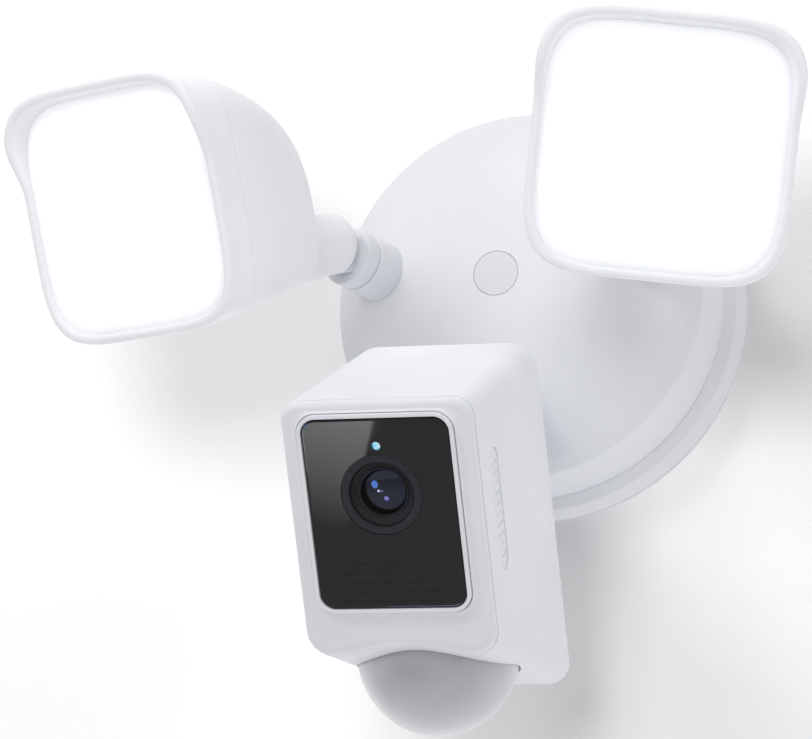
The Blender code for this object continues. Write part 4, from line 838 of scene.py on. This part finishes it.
# The bezel with its hood carries the painted glow at full strength all over.
carry(lamp_bezel, "painted_glow", lambda at: 1.0)

# %% [markdown]
# The diffuser is a crowned tile. It stands a hair inside the bezel and bulges less than a millimetre,
# which is enough to keep its glow from looking like a flat sticker.

# %% Diffuser
LENS_HALF = inner_half - 0.04
EDGE = LENS_FRONT - 0.9
lens_rings = [rim(LENS_HALF, LENS_FRONT - 3.4), rim(LENS_HALF, EDGE)]
lens_rings += [rim(LENS_HALF - ease, EDGE + rise) for ease, rise in ((0.15, 0.4), (0.5, 0.75), (1.0, 0.9))]
for step in range(1, 13):
    share = 1 - step / 13
    lens_rings.append(rim((LENS_HALF - 1.0) * share, LENS_FRONT + 0.7 * (1 - share**2)))
lens_rings.append(rim(0.0, LENS_FRONT + 0.7))
diffuser = drawn("diffuser", lens_rings)
RIM_FADE = 3.5


def nearness(at):
    """How near the diffuser's edge a point is: 1 at the edge, 0 from RIM_FADE inwards."""
    size = (abs(at.x) ** SQUARENESS + abs(at.y - LAMP_UP) ** SQUARENESS) ** (1 / SQUARENESS)
    return 1 - (LENS_HALF - size) / RIM_FADE


carry(diffuser, "rim", nearness)

# %% Left and right lamps
for side in ("left", "right"):
    body = f"{side}_lamp"
    place = heads[side]
    shell, hood = repeat(lamp_housing), repeat(lamp_bezel)
    fit(shell, f"{side}_lamp_shell", place, body, [f"{body}_housing"], asa_lamp_painted_glow)
    fit(hood, f"{side}_lamp_hood", place, body, [f"{body}_bezel"], asa_lamp_painted_glow)
    fit(repeat(diffuser), f"{side}_diffuser", place, body, [f"{body}_lens"], opal_lit)
for pattern in (lamp_housing, lamp_bezel, diffuser):
    bpy.data.objects.remove(pattern)

# %% [markdown]
# ## The camera head
# The camera head is a box that leans: its top falls a little to the rear, and its underside slopes down steeply.
# Its section at any depth is a rectangle with rounded corners, drawn with the same number of points each time,
# so that rings of different sections can be skinned together. In front of the motion sensor the underside is arched.

# %% Camera sections
ARC_STEPS = 12
STRAIGHT_STEPS = 16
CAMERA_FRONT = 101.6
CAMERA_REAR = 21.6
PARTING = 98.8
EDGE_R = 2.5
CAMERA_HALF = 29.8
CROWN = 44.3
CROWN_FALL = 6.0
CROWN_CORNER = 5.7
CORNER_GAIN = 3.3
CHIN = -35.4
CHIN_SLOPE = 0.5
CHIN_CORNER = 8.0
ARCH_HALF = 24.0
ARCH_RISE = 3.2
ARCH_START = 58.0
ARCH_RUN = 28.0


def rounded(corners, radii, inset, ahead):
    """Four-cornered ring, counterclockwise, with an arc at each corner and points along the straights."""
    flat = []
    for i, corner in enumerate(corners):
        here = Vector(corner)
        to_last = (Vector(corners[i - 1]) - here).normalized()
        to_next = (Vector(corners[(i + 1) % 4]) - here).normalized()
        half = to_last.angle(to_next) / 2
        middle = (to_last + to_next).normalized()
        radius = max(radii[i] - inset, 0.3)
        centre = here + middle * ((inset + radius) / math.sin(half))
        sweep = math.pi - 2 * half
        start = math.atan2(-middle.y, -middle.x) - sweep / 2
        for step in range(ARC_STEPS + 1):
            angle = start + sweep * step / ARC_STEPS
            flat.append(centre + Vector((math.cos(angle), math.sin(angle))) * radius)
    ring = []
    for i, point in enumerate(flat):
        ring.append(point)
        if i % (ARC_STEPS + 1) == ARC_STEPS:
            after = flat[(i + 1) % len(flat)]
            ring += [point.lerp(after, step / STRAIGHT_STEPS) for step in range(1, STRAIGHT_STEPS)]
    return [Vector((point.x, point.y, ahead)) * MM for point in ring]


def camera_section(ahead, inset):
    behind = CAMERA_FRONT - ahead
    share = behind / (CAMERA_FRONT - CAMERA_REAR)
    top = CROWN - CROWN_FALL * share
    bottom = CHIN - CHIN_SLOPE * behind
    top_corner = CROWN_CORNER + CORNER_GAIN * share
    corners = [(CAMERA_HALF, top), (-CAMERA_HALF, top), (-CAMERA_HALF, bottom), (CAMERA_HALF, bottom)]
    ring = rounded(corners, [top_corner, top_corner, CHIN_CORNER, CHIN_CORNER], inset, ahead)
    depth = min(max((ahead - ARCH_START) / ARCH_RUN, 0.0), 1.0)
    for point in ring:
        across = point.x / MM / ARCH_HALF
        if point.y < (bottom + inset + 0.01) * MM and abs(across) < 1:
            point.y += ARCH_RISE * MM * math.cos(across * math.pi / 2) ** 2 * depth * depth * (3 - 2 * depth)
    return ring


WINDOW_W = 45.4
WINDOW_H = 59.1
WINDOW_UP = 9.65
WINDOW_CORNER = 4.5


def window_ring(grow, ahead):
    """The window's outline, grown or shrunk all round."""
    x, y = WINDOW_W / 2 + grow, WINDOW_H / 2 + grow
    corners = [(x, WINDOW_UP + y), (-x, WINDOW_UP + y), (-x, WINDOW_UP - y), (x, WINDOW_UP - y)]
    return rounded(corners, [WINDOW_CORNER + grow] * 4, 0.0, ahead)


# %% [markdown]
# The front shell is a picture frame. A thin lip holds the window. A fine groove runs round the lip's foot, and from
# there the frame falls back in a hollow curve to the rounded outer edge. It is skinned as one loop, from the ledge
# behind the window round to the inside.

# %% Front shell
LIP_FRONT = 104.0
LIP_FOOT = 101.0
GROOVE = 0.28
FRAME_FALL = 1.4
FRAME_STEPS = 14
EDGE_STEPS = 6
PARTING_HALF = 0.42
LEDGE = 101.1
LIP_WIDTH = 1.6
lip_steps = [(-2.2, 99.4), (-2.2, LEDGE), (GAP, LEDGE), (GAP, LIP_FRONT - 0.3), (GAP + 0.1, LIP_FRONT - 0.08)]
lip_steps += [(GAP + 0.35, LIP_FRONT), (LIP_WIDTH - 0.35, LIP_FRONT), (LIP_WIDTH - 0.08, LIP_FRONT - 0.1)]
lip_steps += [(LIP_WIDTH, LIP_FRONT - 0.4), (LIP_WIDTH, LIP_FOOT), (LIP_WIDTH + GROOVE, LIP_FOOT)]
frame_rings = [window_ring(grow, ahead) for grow, ahead in lip_steps]
inner_ring = window_ring(LIP_WIDTH + GROOVE, 0.0)
outer_ring = camera_section(CAMERA_FRONT, EDGE_R)
for step in range(FRAME_STEPS):
    share = step / FRAME_STEPS
    ahead = (CAMERA_FRONT + FRAME_FALL * (1 - share) ** 3) * MM
    frame_rings.append(
        [Vector((*a.to_2d().lerp(b.to_2d(), share**1.3), ahead)) for a, b in zip(inner_ring, outer_ring)]
    )
frame_rings += [camera_section(CAMERA_FRONT, EDGE_R)]
for step in range(1, EDGE_STEPS + 1):
    angle = math.pi / 2 * step / EDGE_STEPS
    ahead = CAMERA_FRONT - EDGE_R * (1 - math.cos(angle))
    frame_rings.append(camera_section(ahead, EDGE_R * (1 - math.sin(angle))))
frame_rings += [camera_section(PARTING + 0.5, 0.0), camera_section(PARTING + PARTING_HALF, 0.08)]
frame_rings += [camera_section(PARTING + PARTING_HALF, SHELL), camera_section(99.6, SHELL + 0.3)]
front_shell = drawn("front_shell", frame_rings, loop=True)
camera_place = heads["camera"]
fit(front_shell, "camera_frame", camera_place, "camera_head", ["front_shell"], asa_shell)

# %% [markdown]
# The rear shell is a cup with the same section. Its neck is joined on, the fork is cut, and it gets a round hole
# underneath for the motion sensor and an upright slot in its right side for the grille.

# %% Rear shell
CASE_FRONT = PARTING - 0.55
CASE_STEPS = 16
case_depth = CASE_FRONT - CAMERA_REAR - EDGE_R
depths = [CASE_FRONT - case_depth * step / CASE_STEPS for step in range(CASE_STEPS + 1)]
rear_rings = [camera_section(ahead, SHELL) for ahead in [CAMERA_REAR + SHELL + 0.5] + depths[::-1]]
rear_rings += [camera_section(PARTING - PARTING_HALF, inset) for inset in (SHELL, 0.12)]
rear_rings += [camera_section(ahead, 0.0) for ahead in depths]
for step in range(1, EDGE_STEPS + 1):
    angle = math.pi / 2 * step / EDGE_STEPS
    ahead = CAMERA_REAR + EDGE_R * (1 - math.sin(angle))
    rear_rings.append(camera_section(ahead, EDGE_R * (1 - math.cos(angle))))
rear_shell = drawn("rear_shell", rear_rings)
neck = drawn("neck", ball + [squircle(NECK_R, 0.0, 22.4, ROUND)])
carve(rear_shell, neck, "UNION")
fork(rear_shell)

SENSOR_AHEAD = 66.8
sensor_up = CHIN - CHIN_SLOPE * (CAMERA_FRONT - SENSOR_AHEAD)
sensor_frame = Matrix.Translation((0.0, sensor_up * MM, SENSOR_AHEAD * MM))
sensor_frame = sensor_frame @ Matrix.Rotation(math.radians(90) - math.atan(CHIN_SLOPE), 4, "X")
SENSOR_R = 25.05
SENSOR_SINK = 4.3
sensor_hole = bar(SENSOR_R + 0.3, -9.5, 8.0, "Z", 128)
sensor_hole.matrix_world = sensor_frame @ sensor_hole.matrix_world
carve(rear_shell, sensor_hole)


GRILLE_UP = 4.0
GRILLE_AHEAD = 83.3
GRILLE_FRONT = 29.55


def obround(width, length, low, high):
    """Upright bar along x with round ends, at the side grille."""
    rings = []
    for x in (low, high):
        half, tall = width / 2, length / 2
        corners = [(half, tall), (-half, tall), (-half, -tall), (half, -tall)]
        ring = rounded(corners, [half - 0.05] * 4, 0.0, 0.0)
        rings.append([Vector((x * MM, p.y + GRILLE_UP * MM, p.x + GRILLE_AHEAD * MM)) for p in ring])
    return drawn("obround", rings)


carve(rear_shell, obround(9.15, 38.15, 20.0, 40.0))
fit(rear_shell, "camera_case", camera_place, "camera_head", ["rear_shell"], asa_shell)

# %% [markdown]
# The grille is a small insert with plain slots in front of the speaker. Its edge is eased so that the slot reads
# as a fine outline on the side of the camera.

# %% Side grille
SLOT_PITCH = 3.2
grille = obround(9.0, 38.0, 27.6, GRILLE_FRONT)
ease_edges(grille, 0.35, 60)
for slot in range(10):
    up = GRILLE_UP + SLOT_PITCH * (slot - 4.5)
    carve(grille, block((GRILLE_FRONT - 0.2, up - 0.6, 80.9), (40.0, up + 0.6, 85.7)))
fit(grille, "side_grille_insert", camera_place, "camera_head", ["side_grille"], asa_arm)

# %% [markdown]
# ## Window and lens
# The window is a black tile with a polished face. It has a hole for the lens and one for the status light, and rows of
# short, shallow slots below the lens, where sound gets in.

# %% Window
LENS_UP = WINDOW_UP + 6.0
LIGHT_UP = LENS_UP + 15.1
TILE_FRONT = 103.6
RING_R = 12.5
LIGHT_R = 1.3
FIT = 0.06
THROUGH = (95.0, 110.0)
ROWS_DOWN = 15.5
ROW_PITCH = 2.9
DASH_PITCH = 3.4
DASH_SHIFT = 0.9
DASH_HALF = 1.2
DASH_TALL = 0.3
tile_steps = [(0.0, 101.4), (0.0, 103.3), (-0.12, 103.52)] + [(-grow, TILE_FRONT) for grow in (0.35, 0.6, 0.9)]
window = drawn("window_tile", [window_ring(grow, ahead) for grow, ahead in tile_steps])
lens_hole = bar(RING_R + FIT, *THROUGH, "Z", 128)
lens_hole.location.y = LENS_UP * MM
carve(window, lens_hole)
light_hole = bar(LIGHT_R + FIT, *THROUGH, "Z", 32)
light_hole.location.y = LIGHT_UP * MM
carve(window, light_hole)
for row in range(5):
    up = WINDOW_UP - ROWS_DOWN - ROW_PITCH * row
    for place in range(9):
        x = DASH_PITCH * (place - 4) + (DASH_SHIFT if row % 2 else -DASH_SHIFT)
        low, high = (x - DASH_HALF, up - DASH_TALL, TILE_FRONT - 0.15), (x + DASH_HALF, up + DASH_TALL, THROUGH[1])
        carve(window, block(low, high))
fit(window, "window_tile", camera_place, "camera_head", ["window"], acrylic_black)

# %% [markdown]
# The lens barrel is a level ring, a short cone and a small bead that holds the glass. The front glass is a shallow
# dome. The status light is the end of a clear rod, just under the window's face.

# %% Lens barrel, glass and status light
GLASS_SEAT_R = 7.0
STOP_R = 3.0
TUBE_R = 8.5
TUBE_BACK = 78.0
RING_BACK = 99.2
barrel = turned(
    "lens_barrel",
    [(RING_R, 101.0), (RING_R, 103.45, 0.15), (10.1, 103.4, 0.25), (9.7, 102.4, 0.3), (7.75, 101.0, 0.2)]
    + [(7.6, 101.35, 0.2), (7.2, 101.35, 0.2), (GLASS_SEAT_R, 100.6), (GLASS_SEAT_R, 97.0), (STOP_R, 97.0)]
    + [(STOP_R, TUBE_BACK), (TUBE_R, TUBE_BACK), (TUBE_R, RING_BACK), (RING_R, RING_BACK), (RING_R, 101.0)],
    96,
)
lens_place = camera_place @ Matrix.Translation((0.0, LENS_UP * MM, 0.0))
fit(barrel, "lens_tube", lens_place, "camera_head", ["lens_barrel"], pc_barrel)

GLASS_R = 6.9
GLASS_BULGE = 1.6
GLASS_TOP = 101.5
GLASS_STEPS = 16
glass_sphere = (GLASS_R**2 + GLASS_BULGE**2) / (2 * GLASS_BULGE)
glass_outline = []
for step in range(GLASS_STEPS + 1):
    radius = GLASS_R * step / GLASS_STEPS
    glass_outline.append((radius, GLASS_TOP - glass_sphere + math.sqrt(glass_sphere**2 - radius**2)))
glass = turned("glass", glass_outline + [(GLASS_R, 97.4), (0.0, 97.4)], 96)
fit(glass, "front_glass", lens_place, "camera_head", ["lens_glass"], glass_coated)

light = turned("light", [(0.0, 103.35), (0.8, 103.3), (LIGHT_R, 103.0, 0.3), (LIGHT_R, 96.3), (0.0, 96.3)], 32)
light_place = camera_place @ Matrix.Translation((0.0, LIGHT_UP * MM, 0.0))
fit(light, "status_light", light_place, "camera_head", ["light_pipe"], pipe_lit)

# %% [markdown]
# ## Motion sensor
# The sensor's dome is half a ball, 50 mm across, let into the sloping underside. Its skirt runs on inside.

# %% Sensor dome
SENSOR_STEPS = 32
SENSOR_WALL = 1.2
dome_outline = []
inner_outline = []
for step in range(SENSOR_STEPS + 1):
    angle = math.pi / 2 * (1 - step / SENSOR_STEPS)
    for outline, radius in ((dome_outline, SENSOR_R), (inner_outline, SENSOR_R - SENSOR_WALL)):
        outline.append((radius * math.cos(angle) if step else 0.0, radius * math.sin(angle) - SENSOR_SINK))
skirt = [(SENSOR_R, -8.5), (SENSOR_R - SENSOR_WALL, -8.5)]
sensor = turned("sensor", dome_outline + skirt + inner_outline[::-1], 128)
fit(sensor, "sensor_dome", camera_place @ sensor_frame, "camera_head", ["pir_dome"], pe_dome)

# %% [markdown]
# ## On the wall side
# Behind the flange there is a foam ring against the wall, a stamped steel bar that bolts to the junction box, and four
# screws. They show only before the lamp goes up.

# %% Foam ring, bar and screws
FOAM_IN, FOAM_OUT, FOAM_H = 57.3, 67.3, 1.7
foam_outline = [(FOAM_IN, 0.0), (FOAM_OUT, 0.0, 0.3), (FOAM_OUT, FOAM_H, 0.3), (FOAM_IN, FOAM_H), (FOAM_IN, 0.0)]
foam = turned("foam", foam_outline, FINE_TURN)
fit(foam, "foam_ring", wall_frame, "base", ["wall_gasket"], foam_gasket)

SLOT_HALF = 2.5
SLOT_OUT = 44.45
SCREW_CIRCLE = 52.0
crossbar = block((-48.0, -11.0, 0.0), (48.0, 11.0, 1.7))
ease_edges(crossbar, 0.25, 60)
carve(crossbar, bar(5.5, 0.8, 10.5), "UNION")
carve(crossbar, bar(2.8, 3.2, 12.0))
for side in (-1, 1):
    slot = bar(SLOT_HALF, -3.0, 3.0)
    stretch(slot, lambda at: at.x > HAIR, (2 * SLOT_HALF, 0.0, 0.0))
    slot.location.x = (SLOT_OUT * side - SLOT_HALF) * MM
    carve(crossbar, slot)
fit(crossbar, "wall_crossbar", wall_frame, "base", ["mounting_bracket"], zinc_sheet)

screw = turned(
    "screw", [(0.0, 0.4), (2.6, 0.5, 0.3), (3.0, 1.0, 0.3), (3.0, 1.7), (1.5, 1.7), (1.5, 17.0, 0.6), (0.0, 18.0)], 48
)
for x, y in ((0.35, 1.7), (1.7, 0.35)):
    carve(screw, block((-x, -y, -1.0), (x, y, 1.1)))
for number, degrees in enumerate((50, 130, 222, 318), 1):
    angle = math.radians(degrees)
    place = wall_frame @ Matrix.Translation(Vector((math.cos(angle), math.sin(angle), 0.0)) * SCREW_CIRCLE * MM)
    name, node = f"cross_screw_{number}", f"cover_screw_{number}"
    fit(repeat(screw), name, place, "base", [node], zinc_screw)
bpy.data.objects.remove(screw)

# %% [markdown]
# ## The set
# The lamp hangs on a white wall. Wall and floor are seen from their front only, so a camera behind the wall still sees
# the lamp's back, and they let light through to everything but the camera and mirror-like surfaces. They keep
# the lamp's shadow. A soft sky stands for the light that a white wall and floor throw back, so it is brightest behind
# and below. Soft lamps add shape: in front, high on the left and on the right, above, and low on the right.

# %% Wall and floor
WALL_BEHIND = 0.0003
FLOOR_DOWN = 1.6
SET_SIZE = 9


def seen_directly(tree):
    """1 for rays from the camera, off mirror-like surfaces and through clear ones, else 0."""
    path = add(tree, "LightPath").outputs
    seen = add(tree, "Math", {0: path["Is Camera Ray"], 1: path["Is Glossy Ray"]}, operation="MAXIMUM")
    seen = add(tree, "Math", {0: seen, 1: path["Is Transmission Ray"]}, operation="MAXIMUM")
    return seen


paint = bpy.data.materials.new("wall_paint_pale")
paint.use_nodes = True
tree = paint.node_tree
tree.nodes.clear()
behind = add(tree, "NewGeometry").outputs["Backfacing"]
shown = add(tree, "Math", {0: seen_directly(tree), 1: behind}, operation="SUBTRACT", use_clamp=True)
matt = add(tree, "BsdfDiffuse", {"Color": linear("#c4c4c4")})
lift = add(tree, "Emission", {"Color": linear("#ffffff"), "Strength": 0.15})
both = add(tree, "AddShader", {0: matt, 1: lift})
clear = add(tree, "BsdfTransparent")
mix = add(tree, "MixShader", {0: shown, 1: clear, 2: both})
add(tree, "OutputMaterial", {"Surface": mix})
for name, place, turn in (
    ("wall", (0, WALL_BEHIND, 0), (math.pi / 2, 0, 0)),
    ("floor", (0, 0, -FLOOR_DOWN), (0, 0, 0)),
):
    alone()
    bpy.ops.mesh.primitive_plane_add(size=SET_SIZE, location=place, rotation=turn)
    plane = bpy.context.object
    plane.name = name
    plane.data.materials.append(paint)

# %% Sky
world = bpy.data.worlds.new("studio_sky")
bpy.context.scene.world = world
world.use_nodes = True
tree = world.node_tree
tree.nodes.clear()
way = add(tree, "SeparateXYZ", {"Vector": add(tree, "TexCoord").outputs["Generated"]}).outputs
bounce = {"Value": way["Y"], "From Min": -0.2, "From Max": 0.5, "To Min": 0.28, "To Max": 1.0}
ground = {"Value": way["Z"], "From Min": -1.0, "From Max": 0.2, "To Min": 0.38, "To Max": 0.0}
bounce, ground = [add(tree, "MapRange", sockets) for sockets in (bounce, ground)]
level = add(tree, "Math", {0: bounce, 1: ground}, operation="ADD")
shine = add(tree, "Background", {"Color": linear("#ffffff"), "Strength": 1.0})
soft = add(tree, "Background", {"Color": linear("#fafbff"), "Strength": level})
mix = add(tree, "MixShader", {0: seen_directly(tree), 1: soft, 2: shine})
add(tree, "OutputWorld", {"Surface": mix})
print("set:", paint.name, world.name)

# %% [markdown]
# Two of the lamps shine on the wall and floor alone, through light linking. They deepen the soft shadows without
# changing the light on the lamp itself.

# %% Lamps
AIM = Vector((0, -0.08, -0.02))
backdrop = bpy.data.collections.new("backdrop")
backdrop.objects.link(bpy.data.objects["wall"])
backdrop.objects.link(bpy.data.objects["floor"])
lamps = {
    "front": ((0.35, -2.2, -0.05), 0.5, 7.5, False),
    "key": ((-0.75, -2.0, 0.95), 0.6, 14.5, False),
    "top": ((-0.3, -0.6, 2.3), 1.5, 13.0, False),
    "side": ((2.2, -0.6, -0.5), 1.5, 5.0, False),
    "key_right": ((0.9, -1.6, 1.3), 0.6, 7.0, False),
    "wall_front": ((0.2, -2.2, -0.08), 0.5, 21.0, True),
    "wall_key": ((-1.29, -1.29, 1.42), 1.0, 25.0, True),
}
for name, (place, size, watts, wall_only) in lamps.items():
    light = bpy.data.lights.new(name, "AREA")
    light.size = size
    light.energy = watts
    stand = bpy.data.objects.new(name, light)
    bpy.context.scene.collection.objects.link(stand)
    stand.location = place
    stand.visible_glossy = False
    stand.rotation_euler = (AIM - Vector(place)).to_track_quat("-Z", "Y").to_euler()
    if wall_only:
        stand.light_linking.receiver_collection = backdrop
print("lamps:", *lamps)

# %% [markdown]
# Polished pieces need something to reflect. Four cards stand in front of the camera head, out of the picture: a white
# one that fades and lays a slanting gleam over the window's upper left, and three small ones for the glints in the
# lens. Light linking shows them to the window and the lens alone.


# %% Cards
polished = bpy.data.collections.new("polished")
for name in ("window_tile", "lens_tube", "front_glass", "status_light"):
    polished.objects.link(bpy.data.objects[name])


def card(name, matrix, width, height, strength, tint, fades):
    made = bpy.data.materials.new(name)
    made.use_nodes = True
    made.cycles.emission_sampling = "FRONT_BACK"
    tree = made.node_tree
    tree.nodes.clear()
    flat = add(tree, "SeparateXYZ", {"Vector": add(tree, "TexCoord").outputs["UV"]})
    fade = add(tree, "MapRange", {"Value": flat.outputs["Y"], "From Max": 0.9 if fades else 0.01})
    glow = add(tree, "Emission", {"Color": linear(tint), "Strength": strength})
    clear = add(tree, "BsdfTransparent")
    mix = add(tree, "MixShader", {0: fade, 1: clear, 2: glow})
    add(tree, "OutputMaterial", {"Surface": mix})
    alone()
    if fades:
        bpy.ops.mesh.primitive_plane_add(size=1)
    else:
        bpy.ops.mesh.primitive_circle_add(vertices=24, radius=0.5, fill_type="NGON")
    plane = bpy.context.object
    plane.name = name
    plane.matrix_world = matrix @ Matrix.Diagonal((width, height, 1.0, 1.0))
    plane.data.materials.append(made)
    plane.visible_camera = False
    plane.visible_diffuse = False
    plane.visible_shadow = False
    plane.light_linking.receiver_collection = polished


CARD_AWAY = 0.8
LENS_FACE = 0.1
left = Vector((-0.924, 0.335, -0.184))
rise = Vector((0.251, 0.894, 0.371))
corner = Vector((-0.2364, -0.1846, 0.8426))
middle = corner + left * 0.06 - rise * 0.02
gleam = Matrix((-left, rise, (-left).cross(rise))).transposed().to_4x4()
card("window_card", camera_place @ Matrix.Translation(middle) @ gleam, 0.12, 0.07, 6.2, "#ffffff", True)
glints = (
    ((-0.581, -0.007, 0.813), 0.22, 13.0, "#8fc0ff"),
    ((-0.457, -0.233, 0.857), 0.07, 24.0, "#ffffff"),
    ((-0.207, -0.505, 0.838), 0.14, 12.0, "#d2c4ff"),
)
for number, (way, size, strength, tint) in enumerate(glints, 1):
    spot = Vector((0.0, LENS_UP * MM, LENS_FACE)) + Vector(way) * CARD_AWAY
    turn = Vector(way).to_track_quat("Z", "Y").to_matrix().to_4x4()
    card(f"lens_card_{number}", camera_place @ Matrix.Translation(spot) @ turn, size, size, strength, tint, False)
print("cards:", 1 + len(glints))

# %% [markdown]
# The camera stands below and to the right of the lamp, far back with a long lens, tilted by less than a degree.
# These values came from matching the base's circles and the lamp's square faces.

# %% Camera
AZIMUTH, ELEVATION, ROLL = math.radians(18.26), math.radians(-16.41), math.radians(-0.67)
TARGET = Vector((-50.79, 0.0, -11.42)) * MM
DISTANCE = 1539.97 * MM
FOCAL_PX = 4500
PHOTO_WIDE_PX = 812
level = Vector((math.sin(AZIMUTH), -math.cos(AZIMUTH), 0.0))
back = level * math.cos(ELEVATION) + Vector((0.0, 0.0, math.sin(ELEVATION)))
right = Vector((math.cos(AZIMUTH), math.sin(AZIMUTH), 0.0))
up = back.cross(right)
rolled_right = right * math.cos(ROLL) + up * math.sin(ROLL)
rolled_up = up * math.cos(ROLL) - right * math.sin(ROLL)
lens = bpy.data.cameras.new("view")
lens.sensor_width = 36.0
lens.lens = FOCAL_PX / PHOTO_WIDE_PX * lens.sensor_width
lens.clip_end = 50
view = bpy.data.objects.new("view", lens)
bpy.context.scene.collection.objects.link(view)
turn = Matrix((rolled_right, rolled_up, back)).transposed()
view.matrix_world = Matrix.Translation(TARGET + back * DISTANCE) @ turn.to_4x4()
bpy.context.scene.camera = view
bpy.context.scene.view_settings.view_transform = "Standard"
print("camera at", [round(v, 3) for v in view.matrix_world.translation], "m, lens", round(lens.lens, 1), "mm")
